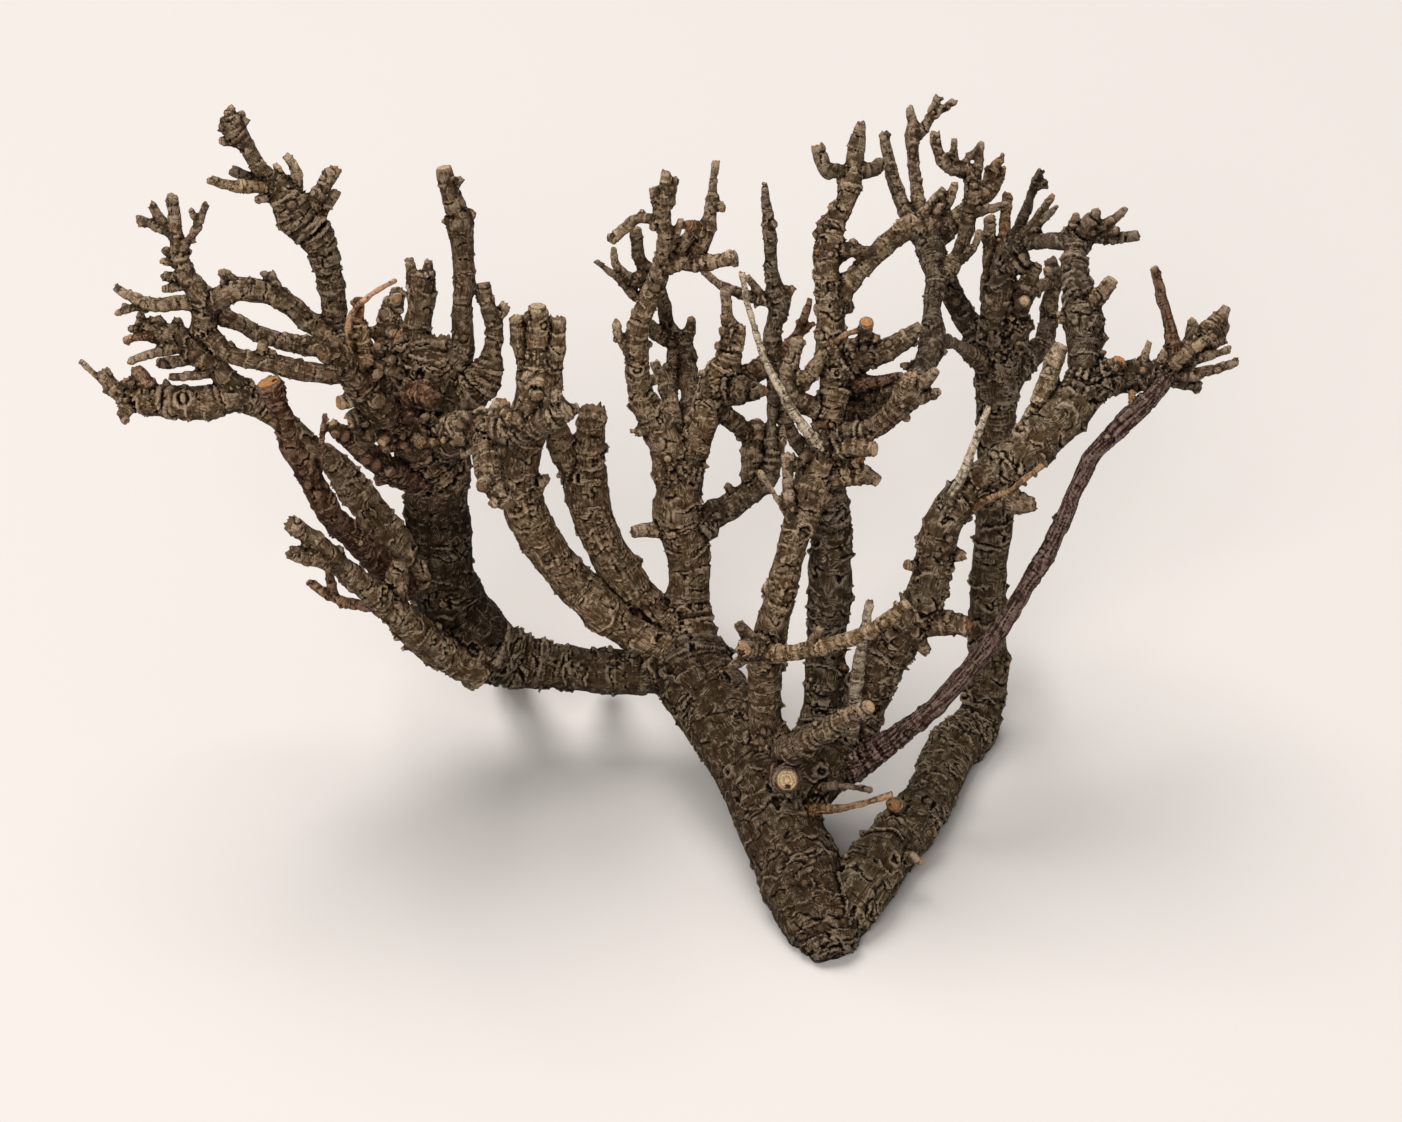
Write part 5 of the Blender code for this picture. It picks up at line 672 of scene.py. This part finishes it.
class Limb:
    """Rings along one limb: centre, directions ahead, aside and over, radius, and run from its root."""

    def __init__(self, name, centres, radii, parent=None):
        self.name = name
        self.centres = centres
        self.radii = radii
        steps = np.linalg.norm(np.diff(centres, axis=0), axis=1)
        self.run = np.concatenate(([0.0], np.cumsum(steps)))
        ahead = np.gradient(centres, axis=0)
        self.ahead = ahead / np.linalg.norm(ahead, axis=1)[:, None]
        self.aside = np.empty_like(self.ahead)
        start = np.cross(self.ahead[0], (0.31, 0.17, 0.93))
        self.aside[0] = start / np.linalg.norm(start)
        for index in range(1, len(centres)):
            turned = self.aside[index - 1] - self.ahead[index] * (self.aside[index - 1] @ self.ahead[index])
            self.aside[index] = turned / np.linalg.norm(turned)
        self.over = np.cross(self.ahead, self.aside)
        looks = parent or self
        self.thickness = float(np.mean(radii))
        self.colour = LIMB_COLOURS.get(looks.name, BARK)
        self.tip_colour = TIP_COLOURS.get(looks.name, self.colour)
        self.smooth = SMOOTH_LIMBS.get(looks.name, THIN_SMOOTHNESS if self.thickness < THIN_LIMB else 0.0)
        self.end_colour = END_COLOURS.get(name)

    def tube(self, sides):
        """Points and faces of the limb as one closed tube, and the ring that each point belongs to."""
        angles = np.arange(sides) * 2 * math.pi / sides
        spoke = (np.cos(angles)[None, :, None] * self.aside[:, None]
                 + np.sin(angles)[None, :, None] * self.over[:, None])
        rims = self.centres[:, None] + spoke * self.radii[:, None, None]
        count = len(self.centres)
        points = np.concatenate((rims.reshape(-1, 3), self.centres[:1], self.centres[-1:]))
        rings = np.concatenate((np.repeat(np.arange(count), sides), [0, count - 1]))
        here = np.arange(sides)
        there = (here + 1) % sides
        first = (np.arange(count - 1) * sides)[:, None]
        sheet = np.stack((first + here, first + there, first + there + sides, first + here + sides), axis=-1)
        root, tip = count * sides, count * sides + 1
        last = (count - 1) * sides
        faces = sheet.reshape(-1, 4).tolist()
        faces += [(root, int(b), int(a)) for a, b in zip(here, there)]
        faces += [(tip, int(last + a), int(last + b)) for a, b in zip(here, there)]
        return points, faces, rings


def limb_of(name, stations):
    """A limb from its stations."""
    line = smooth_line(stations, fine_steps)
    nearer = 1.0 - line[:, 2] / EYE_DISTANCE
    return Limb(name, place(line[:, :3]), line[:, 3] * nearer)


def buds(limb, draw):
    """Small knobs and broken bud bases, at random places round a limb."""
    result = []
    spacing, reaches, thicknesses = KNOB_SIZES if limb.name in CROWDED_LIMBS else BUD_SIZES
    run = draw.uniform(0.3, 1.0) * spacing
    while run < limb.run[-1] - BUD_MARGIN:
        ring = int(np.searchsorted(limb.run, run))
        angle = draw.uniform(0, 2 * math.pi)
        radius = limb.radii[ring]
        thick = min(radius * BUD_SHARE, draw.uniform(*thicknesses))
        reach = radius + draw.uniform(*reaches) * (1 - 0.7 * limb.smooth)
        out = math.cos(angle) * limb.aside[ring] + math.sin(angle) * limb.over[ring]
        out = out + limb.ahead[ring] * draw.uniform(-0.1, 0.6)
        share = np.linspace(BUD_ROOT, 1.0, len(BUD_TAPER))[:, None]
        centres = limb.centres[ring] + out * reach * share
        result.append(Limb(f"{limb.name}_bud", centres, thick * np.array(BUD_TAPER), parent=limb))
        run += draw.uniform(0.5, 1.5) * spacing * (1 + limb.smooth)
    return result


def sorted_limbs(draw):
    """Every limb, in a list for each piece."""
    home = {bough: piece for piece, boughs in PIECES.items() for bough in boughs}
    drawn = {**BOUGHS, "trunk": WORN_FOOT + BOUGHS["trunk"][len(WORN_FOOT):]}
    boughs = [limb_of(name, stations) for name, stations in drawn.items()]
    pieces = {piece: [] for piece in [*PIECES, LEFT_TIPS_PIECE]}
    for limb in boughs:
        pieces[home[limb.name]].append(limb)
    for name, stations in LEFT_ARMS.items():
        piece = LEFT_TIPS_PIECE if name.startswith(LEFT_TIP_ARMS) else LEFT_PIECE
        pieces[piece].append(limb_of(name, stations))
    for name, stations in {**TWIGS, **spurs(draw)}.items():
        limb = limb_of(name, stations)
        pieces[home[nearest_bough(limb, boughs).name]].append(limb)
    return pieces


def nearest_bough(limb, boughs):
    """The bough that the limb's root is nearest to."""
    root = limb.centres[0]
    return min(boughs, key=lambda bough: np.min(np.linalg.norm(bough.centres - root, axis=1)))


def hashed(cells, salt):
    """A random number from 0 to 1 for each row of whole numbers."""
    value = cells[..., 0] * 73856093 ^ cells[..., 1] * 19349663 ^ cells[..., 2] * 83492791
    value = (value + salt * 2654435761) & 0xFFFFFFFF
    value = ((value ^ (value >> 15)) * 2246822519) & 0xFFFFFFFF
    value = ((value ^ (value >> 13)) * 3266489917) & 0xFFFFFFFF
    return ((value ^ (value >> 16)) & 0xFFFFFF) / 0xFFFFFF


def drawn_for(count, draw):
    """One random number from 0 to 1 for each of so many limbs, in one of the named draws."""
    cell, salt = draw
    return hashed(np.array([[index, *cell] for index in range(count)]), salt)


CORNERS = np.array(list(itertools.product((0, 1), repeat=3)))
NEIGHBOURS = np.array(list(itertools.product((-1, 0, 1), repeat=3)))


def waves(points, salt):
    """Smooth random field of the points' places, about -1 to 1, with features one unit wide."""
    cell = np.floor(points).astype(np.int64)
    inside = points - cell
    blend = inside ** 3 * (inside * (inside * 6 - 15) + 10)
    total = np.zeros(len(points))
    for corner in CORNERS:
        weight = np.prod(np.where(corner, blend, 1 - blend), axis=1)
        at = cell + corner
        slope = np.stack([hashed(at, salt + axis) for axis in range(3)], axis=1) * 2 - 1
        total += weight * np.sum(slope * (inside - corner), axis=1)
    return total * 1.6


def plates(points, salt):
    """Random cells one unit wide: gap to the nearest border, step to the cell's middle, its number."""
    cell = np.floor(points).astype(np.int64)
    nearest = np.full(len(points), 9.0)
    second = np.full(len(points), 9.0)
    step = np.zeros_like(points)
    number = np.zeros(len(points))
    for neighbour in NEIGHBOURS:
        at = cell + neighbour
        middle = at + np.stack([hashed(at, salt + axis) for axis in range(3)], axis=1)
        away = middle - points
        gap = np.sqrt(np.sum(away * away, axis=1))
        closer = gap < nearest
        second = np.where(closer, nearest, np.minimum(second, gap))
        nearest = np.where(closer, gap, nearest)
        step[closer] = away[closer]
        number[closer] = hashed(at[closer], salt + 5)
    return second - nearest, step, number


def ramp(value, low, high):
    """0 below low, 1 above high, smooth between."""
    share = np.clip((value - low) / (high - low), 0, 1)
    return share * share * (3 - 2 * share)


def bark_relief(grain, radius, scale, smooth):
    """Height of the bark over the limb's round surface, in station units.

    grain is each point's place in its own limb, in station units: two across it and one along it.
    The last number of each field below only tells it from the others.
    """
    size = grain / scale[:, None]
    lumps = 0.13 * radius * waves(grain / (1.2 + 1.3 * radius[:, None]), 11) + 0.22 * waves(grain / 2.9, 12)
    warp = np.stack([waves(size / 3.2, salt) for salt in (21, 22, 23)], axis=1)
    bent = size + warp * (1.2, 1.2, 1.6)
    worn = 1 - 0.45 * ramp(radius, 6.0, 8.5)
    rough = ramp(waves(grain / 7.0, 51), 0.06, 0.45) * ramp(radius, 1.5, 5.5) * worn
    height = (swirls(bent, 31) * (0.09 + 0.55 * rough) + shingles(size, 5.2, 1.05, 71) * worn
              + shingles(size, 2.6, 0.38, 81) * (0.12 + 0.70 * rough) + flakes(bent, 61) * rough
              + knots(size, 75))
    furrow = waves(grain * (1.3, 1.3, 0.12), 91)
    furrows = 0.30 * (ramp(np.abs(furrow), 0.0, 0.3) - 0.6)
    height = height * (1 - smooth) * scale + furrows * smooth * np.minimum(1.0, radius / 2)
    limit = np.minimum(BARK_LIMIT, BARK_LIMIT_SHARE * radius)
    return lumps + limit * np.tanh(height / limit)


def swirls(places, salt):
    """Folds that follow the level lines of a smooth field, so they nest and close like wood grain."""
    level = 2.2 * waves(places * (0.13, 0.13, 0.26), salt)
    ridge = np.abs(level - np.floor(level) - 0.5) * 2
    return ramp(ridge, 0.03, 0.42) - 0.8


def shingles(size, spacing, rise, salt):
    """Overlapping bark rings: each swells to a lip and ends in a crack, and breaks off along the way."""
    level = size[:, 2] / spacing + 0.55 * waves(size / 4.2, salt) + 0.07 * waves(size / 1.3, salt + 1)
    cell = np.floor(level)
    key = np.stack((cell, np.zeros_like(cell), np.zeros_like(cell)), axis=1).astype(np.int64)
    chance = hashed(key, salt + 2)
    share = level - cell
    share = np.where(chance > 0.5, share, 1 - share)
    kept = ramp(waves(size / 4.2 + key * 5.3, salt + 3), -0.05, 0.15)
    lip = np.exp(-(1 - share) * spacing / 0.70)
    crack = np.exp(-(share * spacing / 0.42) ** 2)
    return rise * kept * (0.45 + hashed(key, salt + 4)) * (lip - 0.9 * crack)


def flakes(places, salt):
    """Loose plates of bark that stand off at one edge, on some of the cells."""
    border, step, number = plates(places * (0.36, 0.36, 0.36), salt)
    lifted = ramp(border, 0.02, 0.16) * np.clip(0.4 + 1.5 * step[:, 2], 0, 1.2)
    return (number > 0.68) * lifted * 0.95


def knots(size, salt):
    """Old twig scars: a round button inside a ring, at random places on the bark."""
    spacing = 8.5
    rarity = 0.91
    _, step, number = plates(size / spacing, salt)
    width = 0.5 + 6.0 * np.clip(number - rarity, 0, None)
    away = (np.linalg.norm(step, axis=1) * spacing + 0.45 * waves(size / 1.5, salt + 9)) / width
    button = 0.6 * np.exp(-(away / 0.9) ** 2) + 0.5 * np.exp(-((away - 2.1) / 0.6) ** 2)
    moat = 0.6 * np.exp(-((away - 1.35) / 0.35) ** 2)
    return (number > rarity) * (button - moat)


def joined(limbs):
    """One overlapping mesh of all the limbs' tubes, and each point's limb and ring."""
    points, faces, owners, rings = [], [], [], []
    start = 0
    for index, limb in enumerate(limbs):
        sides = SIDES if limb.thickness > SIDES_RADIUS else THIN_SIDES
        tube_points, tube_faces, tube_rings = limb.tube(sides)
        points.append(tube_points)
        faces += [tuple(corner + start for corner in face) for face in tube_faces]
        owners.append(np.full(len(tube_points), index))
        rings.append(tube_rings)
        start += len(tube_points)
    return np.concatenate(points), faces, np.concatenate(owners), np.concatenate(rings)


def remeshed(name, points, faces):
    """The union of overlapping closed tubes as one even mesh object, in station units."""
    mesh = bpy.data.meshes.new(name)
    mesh.from_pydata(points.tolist(), [], faces)
    piece = bpy.data.objects.new(name, mesh)
    bpy.context.scene.collection.objects.link(piece)
    remesh = piece.modifiers.new("surface", "REMESH")
    remesh.mode = "VOXEL"
    remesh.voxel_size = VOXEL
    remesh.adaptivity = 0
    apply_modifiers(piece)
    return piece


def apply_modifiers(piece):
    """Replace the piece's mesh with the one that its modifiers make."""
    bpy.context.view_layer.update()
    made = bpy.data.meshes.new_from_object(piece.evaluated_get(bpy.context.evaluated_depsgraph_get()))
    piece.modifiers.clear()
    old = piece.data
    piece.data = made
    bpy.data.meshes.remove(old)


def read_points(mesh, kind="co"):
    """The mesh's points or their normals as rows."""
    values = np.empty(len(mesh.vertices) * 3, np.float32)
    mesh.vertices.foreach_get(kind, values)
    return values.reshape(-1, 3).astype(float)


def read_edges(mesh):
    """The two points of each edge, as rows."""
    values = np.empty(len(mesh.edges) * 2, np.int32)
    mesh.edges.foreach_get("vertices", values)
    return values.reshape(-1, 2)


def averaged(values, edges, rounds):
    """Rows of values, each moved half way to its neighbours' average in each round."""
    count = len(values)
    ends = np.concatenate((edges[:, 0], edges[:, 1]))
    others = np.concatenate((edges[:, 1], edges[:, 0]))
    degree = np.maximum(1, np.bincount(ends, minlength=count))
    for _ in range(rounds):
        mean = np.stack([np.bincount(ends, column[others], minlength=count) for column in values.T], axis=1)
        values = (values + mean / degree[:, None]) / 2
    return values


def nearest_rings(points, tube_points):
    """For each point, the index of the nearest point of the tubes."""
    tree = kdtree.KDTree(len(tube_points))
    for index, point in enumerate(tube_points):
        tree.insert(point, index)
    tree.balance()
    return np.array([tree.find(point)[1] for point in points])


class Spots:
    """Where each point of a piece lies on the limb that it belongs to."""

    def __init__(self, limbs, points, owner, ring):
        firsts = np.cumsum([0] + [len(limb.run) for limb in limbs[:-1]])
        row = firsts[owner] + ring
        centre, aside, over, run, self.ahead, self.radius = (
            np.concatenate([getattr(limb, key) for limb in limbs])[row]
            for key in ("centres", "aside", "over", "run", "ahead", "radii"))
        away = points - centre
        self.across = np.column_stack([np.sum(away * side, axis=1) for side in (aside, over)])
        self.along = run + np.sum(away * self.ahead, axis=1)
        self.owner = owner
        self.length = np.array([limb.run[-1] for limb in limbs])[owner]
        offset = OFFSET_RANGE * drawn_for(len(limbs), OFFSET_DRAW)
        self.grain = np.column_stack((self.across, self.along + offset[owner]))


def make_piece(name, limbs, material):
    """One piece of the surface: its limbs joined, given bark, and cut level with the ground."""
    tube_points, faces, owners, rings = joined(limbs)
    piece = remeshed(name, tube_points, faces)
    mesh = piece.data
    edges = read_edges(mesh)
    points = averaged(read_points(mesh), edges, FILLET_ROUNDS)
    move_points(mesh, points)
    normals = read_points(mesh, "normal")
    found = nearest_rings(points, tube_points)
    spots = Spots(limbs, points, owners[found], rings[found])

    cut = cut_share(spots, normals)
    points = barked(limbs, spots, points, normals, cut)
    tint = bark_tint(name, limbs, spots, points, normals, edges)
    ends = end_colours(limbs)[spots.owner]
    opaque = np.ones(len(points))
    write(mesh, "tint", "FLOAT_COLOR", np.column_stack((tint, opaque)))
    write(mesh, "end_tint", "FLOAT_COLOR", np.column_stack((ends, opaque)))
    write(mesh, "grain", "FLOAT_VECTOR", spots.grain)
    write(mesh, "crevice", "FLOAT", crevices(points, normals, edges))
    write(mesh, "cut", "FLOAT", cut)
    write(mesh, "radial", "FLOAT", np.linalg.norm(spots.across, axis=1) / spots.radius)
    move_points(mesh, points * UNIT)

    thin = piece.modifiers.new("thin", "DECIMATE")
    thin.ratio = min(KEPT_SHARE, LARGEST_PIECE / sum(len(face.vertices) - 2 for face in mesh.polygons))
    apply_modifiers(piece)
    piece.data.shade_smooth()
    piece.data.materials.clear()
    piece.data.materials.append(material)
    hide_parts("driftwood")
    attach(piece, "root")


def move_points(mesh, points):
    """Put the mesh's points at these places."""
    mesh.vertices.foreach_set("co", points.astype(np.float32).ravel())
    mesh.update()


def cut_share(spots, normals):
    """1 on the sawn or broken end of a limb, 0 on its bark."""
    at_end = ramp(spots.length - spots.along, CUT_LENGTH, 0.15)
    facing = np.sum(normals * spots.ahead, axis=1)
    return at_end * ramp(facing, 0.45, 0.8)


def barked(limbs, spots, points, normals, cut):
    """The points moved out or in by their bark and their broken ends, and up to the ground."""
    low_scale, high_scale = BARK_SCALES
    thickness = np.array([limb.thickness for limb in limbs])
    scale = np.clip(thickness / MIDDLING_LIMB, low_scale, high_scale)[spots.owner]
    smooth = np.array([limb.smooth for limb in limbs])[spots.owner]
    relief = bark_relief(spots.grain, spots.radius, scale, smooth)
    broken = np.array([limb.end_colour is None for limb in limbs])[spots.owner]
    depth, share = RAGGED
    ragged = broken * cut * waves(spots.grain * 1.1, 95) * np.minimum(depth, share * spots.radius)
    points = points + normals * (relief * (1 - 0.8 * cut))[:, None] + spots.ahead * ragged[:, None]
    points[:, 2] = np.maximum(points[:, 2], 0)
    return points


def crevices(points, normals, edges):
    """From 0 in a deep crevice to 1 on a sharp ridge, near one half on an even surface. Low values get
    painted shade, high ones a pale worn ridge with a painted highlight.
    """
    fine_height = np.sum((points - averaged(points, edges, FINE_ROUNDS)) * normals, axis=1)
    broad_height = np.sum((points - averaged(points, edges, BROAD_ROUNDS)) * normals, axis=1)
    return np.clip(0.5 + fine_height / FINE_RANGE + broad_height / BROAD_RANGE, 0, 1)


def bark_tint(name, limbs, spots, points, normals, edges):
    """Each point's bark colour: its limb's, in a tone by limb and piece, darker towards the ground at the
    foot, with painted shade on its underside.
    """
    least, spread = LIMB_SHADES
    shade = (least + spread * drawn_for(len(limbs), SHADE_DRAW)) * PIECE_SHADES.get(name, 1.0)
    thin = np.array([limb.thickness for limb in limbs]) < THIN_LIMB
    shade *= np.where(thin, THIN_LIGHTNESS, 1.0)
    root_tints = (np.array([limb.colour for limb in limbs]) * shade[:, None])[spots.owner]
    tip_tints = (np.array([limb.tip_colour for limb in limbs]) * shade[:, None])[spots.owner]
    outer = ramp(spots.along / spots.length, *OUTER_PART)[:, None]
    tint = averaged(root_tints * (1 - outer) + tip_tints * outer, edges, TINT_ROUNDS)
    # darker towards the ground at the foot and the other low points
    tint *= (FOOT_SHADE + (1 - FOOT_SHADE) * ramp(points[:, 2], 0.0, FOOT_DARKENING_HEIGHT))[:, None]
    # painted shade: the bark is darker where its surface faces down
    tint *= (UNDERSIDE_PAINTED_SHADE + (1 - UNDERSIDE_PAINTED_SHADE) * ramp(normals[:, 2], -0.75, 0.35))[:, None]
    return tint


def end_colours(limbs):
    """Colour of each limb's end: its own, or one that many broken twigs share."""
    colours = []
    for limb, chance in zip(limbs, drawn_for(len(limbs), END_DRAW)):
        if limb.name.endswith("_bud"):
            chance *= 3.5
        if limb.end_colour:
            colours.append(limb.end_colour)
        elif chance < 0.35:
            colours.append(TAN_END)
        elif chance < 0.6:
            colours.append(BROWN_END)
        else:
            colours.append(tuple(1.2 * part for part in limb.colour))
    return np.array(colours)


def write(mesh, name, kind, values):
    """Give every point of the mesh a value under a name."""
    attribute = mesh.attributes.new(name, kind, "POINT")
    field = {"FLOAT": "value", "FLOAT_VECTOR": "vector", "FLOAT_COLOR": "color"}[kind]
    attribute.data.foreach_set(field, np.asarray(values, np.float32).ravel())


class Nodes:
    """Short calls that add nodes to a material."""

    def __init__(self, material):
        self.tree = material.node_tree

    def add(self, kind, **values):
        node = self.tree.nodes.new(kind)
        for key, value in values.items():
            setattr(node, key, value)
        return node

    def link(self, output, node, socket):
        if isinstance(output, (int, float, tuple)):
            node.inputs[socket].default_value = output
        else:
            self.tree.links.new(output, node.inputs[socket])

    def attribute(self, name, output="Fac"):
        return self.add("ShaderNodeAttribute", attribute_name=name).outputs[output]

    def math(self, operation, first, second=0.0, third=0.0, clamp=False):
        node = self.add("ShaderNodeMath", operation=operation, use_clamp=clamp)
        for socket, value in enumerate((first, second, third)):
            self.link(value, node, socket)
        return node.outputs[0]

    def noise(self, place, scale, detail=3.0, roughness=0.55, stretch=(1.0, 1.0, 1.0), distortion=0.0):
        mapping = self.add("ShaderNodeMapping")
        self.link(place, mapping, "Vector")
        mapping.inputs["Scale"].default_value = stretch
        node = self.add("ShaderNodeTexNoise")
        self.link(mapping.outputs["Vector"], node, "Vector")
        node.inputs["Scale"].default_value = scale
        node.inputs["Detail"].default_value = detail
        node.inputs["Roughness"].default_value = roughness
        node.inputs["Distortion"].default_value = distortion
        return node.outputs["Fac"]

    def creases(self, value, width):
        """0 along thin lines where a noise passes its middle, and 1 away from them."""
        away = self.math("ABSOLUTE", self.math("SUBTRACT", value, 0.5))
        return self.ramp(away, 0.0, width)

    def waves(self, angle):
        """From 0 to 1 and back with each turn of the angle."""
        return self.ramp(self.math("SINE", angle), -1.0, 1.0)

    def scaled(self, colour, shares):
        return self.mix(1.0, colour, shares, "MULTIPLY")

    def ramp(self, value, low, high, from_value=0.0, to_value=1.0):
        node = self.add("ShaderNodeMapRange", interpolation_type="SMOOTHSTEP")
        self.link(value, node, "Value")
        self.link(low, node, "From Min")
        self.link(high, node, "From Max")
        self.link(from_value, node, "To Min")
        self.link(to_value, node, "To Max")
        return node.outputs["Result"]

    def mix(self, share, first, second, blend="MIX"):
        node = self.add("ShaderNodeMix", data_type="RGBA", blend_type=blend)
        self.link(share, node, 0)
        for socket, value in ((6, first), (7, second)):
            self.link((*value, 1.0) if isinstance(value, tuple) else value, node, socket)
        return node.outputs[2]


def bark_material():
    """Weathered bark: patchy grey-brown, with painted shade in its crevices, pale worn ridges with a painted
    highlight, and cut ends.
    """
    material = bpy.data.materials.new("weathered_bark")
    material.use_nodes = True
    nodes = Nodes(material)
    shader = material.node_tree.nodes["Principled BSDF"]
    grain = nodes.attribute("grain", "Vector")

    patches = nodes.noise(grain, 0.20, detail=3.0)
    blotches = nodes.noise(grain, 0.50, detail=3.0, roughness=0.6)
    speckle = nodes.noise(grain, 2.6, detail=3.0, roughness=0.7)
    fibres = nodes.noise(grain, 1.0, detail=3.0, roughness=0.65, stretch=(2.4, 2.4, 0.35), distortion=0.3)
    cross_field = nodes.noise(grain, 1.0, detail=1.5, stretch=(0.13, 0.13, 0.60), distortion=0.25)
    cross_lines = nodes.creases(cross_field, 0.018)
    cross_lines = nodes.math("MAXIMUM", cross_lines, nodes.ramp(blotches, 0.50, 0.44))
    whorl_field = nodes.noise(grain, 0.26, detail=1.0, stretch=(1.0, 1.0, 0.6), distortion=0.4)
    whorls = nodes.waves(nodes.math("MULTIPLY", whorl_field, 90.0))

    bark = bark_colour(nodes, patches, blotches, speckle, fibres, whorls, cross_lines)
    colour = nodes.mix(nodes.attribute("cut"), bark, end_wood(nodes, patches, speckle))
    nodes.link(colour, shader, "Base Color")
    nodes.link(nodes.ramp(speckle, 0.3, 0.7, 0.85, 0.60), shader, "Roughness")
    shader.inputs["Specular IOR Level"].default_value = 0.06

    grained = nodes.math("ADD", nodes.math("MULTIPLY", fibres, 1.5), nodes.math("MULTIPLY", whorls, 0.4))
    relief = nodes.math("ADD", grained, nodes.math("ADD", cross_lines, speckle))
    bump = nodes.add("ShaderNodeBump")
    bump.inputs["Strength"].default_value = 1.0
    bump.inputs["Distance"].default_value = 0.0002
    nodes.link(relief, bump, "Height")
    nodes.link(bump.outputs["Normal"], shader, "Normal")
    return material


def bark_colour(nodes, patches, blotches, speckle, fibres, whorls, cross_lines):
    """The point's tint, browner or greyer in patches, dark in grain lines and cracks, with painted shade in
    hollows, and pale on worn ridges, partly a painted highlight.
    """
    tint = nodes.attribute("tint", "Color")
    crevice = nodes.attribute("crevice")
    brown = nodes.scaled(tint, (1.04, 0.96, 0.87))
    olive = nodes.scaled(tint, (1.00, 1.02, 0.98))
    base = nodes.mix(nodes.ramp(patches, 0.42, 0.58), brown, olive)
    shaded = nodes.mix(nodes.ramp(blotches, 0.38, 0.60), nodes.scaled(base, (0.60, 0.55, 0.49)), base)
    lined = nodes.mix(nodes.ramp(fibres, 0.36, 0.58), nodes.scaled(shaded, (0.52, 0.46, 0.40)), shaded)
    whorl_shade = nodes.ramp(whorls, 0.0, 0.5, 0.40, 0.0)
    lined = nodes.mix(whorl_shade, lined, nodes.scaled(lined, (0.50, 0.45, 0.40)))

    pale = nodes.mix(0.16, nodes.scaled(tint, (2.9, 3.0, 3.2)), (0.62, 0.55, 0.45))
    grain_tops = nodes.math("MAXIMUM", nodes.ramp(fibres, 0.52, 0.68), nodes.ramp(whorls, 0.7, 1.0))
    streaks = nodes.math("MULTIPLY", grain_tops, nodes.ramp(blotches, 0.46, 0.60))
    # pale ridge tops: partly wear, partly a painted highlight
    ridge_pale_spots = nodes.ramp(speckle, 0.34, 0.58, 0.35, 1.0)
    worn = nodes.math("MULTIPLY", nodes.ramp(crevice, 0.54, 0.84), ridge_pale_spots)
    light = nodes.math("MAXIMUM", nodes.math("MULTIPLY", streaks, 0.60), nodes.math("MULTIPLY", worn, 0.90))
    lit = nodes.mix(light, lined, pale)

    # painted shade: the bark is darkened in hollows and between limbs, where shade falls
    painted_hollow_shade = nodes.mix(nodes.ramp(crevice, 0.22, 0.56), (0.05, 0.026, 0.012), (1.0, 1.0, 1.0))
    creased = nodes.mix(cross_lines, (0.20, 0.14, 0.09), (1.0, 1.0, 1.0))
    return nodes.scaled(nodes.scaled(lit, painted_hollow_shade), creased)


def end_wood(nodes, patches, speckle):
    """Sawn or broken wood: the end's own colour with rings, dark specks and a dark rim."""
    radial = nodes.attribute("radial")
    turns = nodes.math("MULTIPLY_ADD", radial, 26.0, nodes.math("MULTIPLY", patches, 9.0))
    rings = nodes.math("MULTIPLY", nodes.waves(turns), 0.5)
    wood = nodes.mix(rings, nodes.attribute("end_tint", "Color"), (0.30, 0.17, 0.085))
    wood = nodes.mix(nodes.ramp(speckle, 0.62, 0.40, 0.0, 0.45), wood, (0.16, 0.09, 0.05))
    return nodes.mix(nodes.ramp(radial, 0.68, 0.95), wood, (0.07, 0.042, 0.026))


def floor():
    """Plain pale ground that reaches past every view."""
    bpy.ops.mesh.primitive_plane_add(size=FLOOR_WIDTH)
    ground = bpy.context.active_object
    ground.name = "ground"
    material = bpy.data.materials.new("pale_ground")
    material.use_nodes = True
    shader = material.node_tree.nodes["Principled BSDF"]
    shader.inputs["Base Color"].default_value = (0.80, 0.755, 0.725, 1)
    shader.inputs["Roughness"].default_value = 0.9
    shader.inputs["Specular IOR Level"].default_value = 0.1
    ground.data.materials.append(material)


def softbox(name, place, size, power):
    """A soft round light that faces the part."""
    light = bpy.data.lights.new(name, "AREA")
    light.shape = "DISK"
    light.size = size
    light.energy = power
    light.color = DAYLIGHT
    lamp = bpy.data.objects.new(name, light)
    lamp.location = place
    lamp.rotation_euler = (Vector(LIT_POINT) - Vector(place)).to_track_quat("-Z", "Y").to_euler()
    bpy.context.scene.collection.objects.link(lamp)


def lights():
    """Even daylight from all round, a broad soft light from above and behind, and a fill in front."""
    world = bpy.data.worlds.new("daylight")
    world.use_nodes = True
    background = world.node_tree.nodes["Background"]
    background.inputs["Color"].default_value = (*DAYLIGHT, 1)
    background.inputs["Strength"].default_value = 0.21
    bpy.context.scene.world = world
    softbox("overhead", (-0.65, 1.20, 3.20), 2.4, 95.0)
    softbox("front_fill", (-0.50, -1.80, 1.50), 1.3, 30.0)
    bpy.context.scene.view_settings.view_transform = "Standard"


def camera():
    """The view of the photograph: the eye looks down at the lean of the drawing plane."""
    eye = bpy.data.cameras.new("eye")
    eye.sensor_width = 36.0
    eye.lens = eye.sensor_width * EYE_DISTANCE / VIEW_WIDTH
    holder = bpy.data.objects.new("eye", eye)
    depth = AIM[1] * math.sin(LEAN) - EYE_DISTANCE * math.cos(LEAN)
    height = AIM[1] * math.cos(LEAN) + EYE_DISTANCE * math.sin(LEAN)
    holder.location = Vector((AIM[0], depth, height)) * UNIT
    holder.rotation_euler = (math.pi / 2 - LEAN, 0, 0)
    bpy.context.scene.collection.objects.link(holder)
    bpy.context.scene.camera = holder


camera()
lights()
floor()
bark = bark_material()
bud_draw = random.Random(BUD_SEED)
for piece_name, piece_limbs in sorted_limbs(random.Random(SPUR_SEED)).items():
    knobs = [bud for limb in piece_limbs for bud in buds(limb, bud_draw)]
    make_piece(piece_name, piece_limbs + knobs, bark)
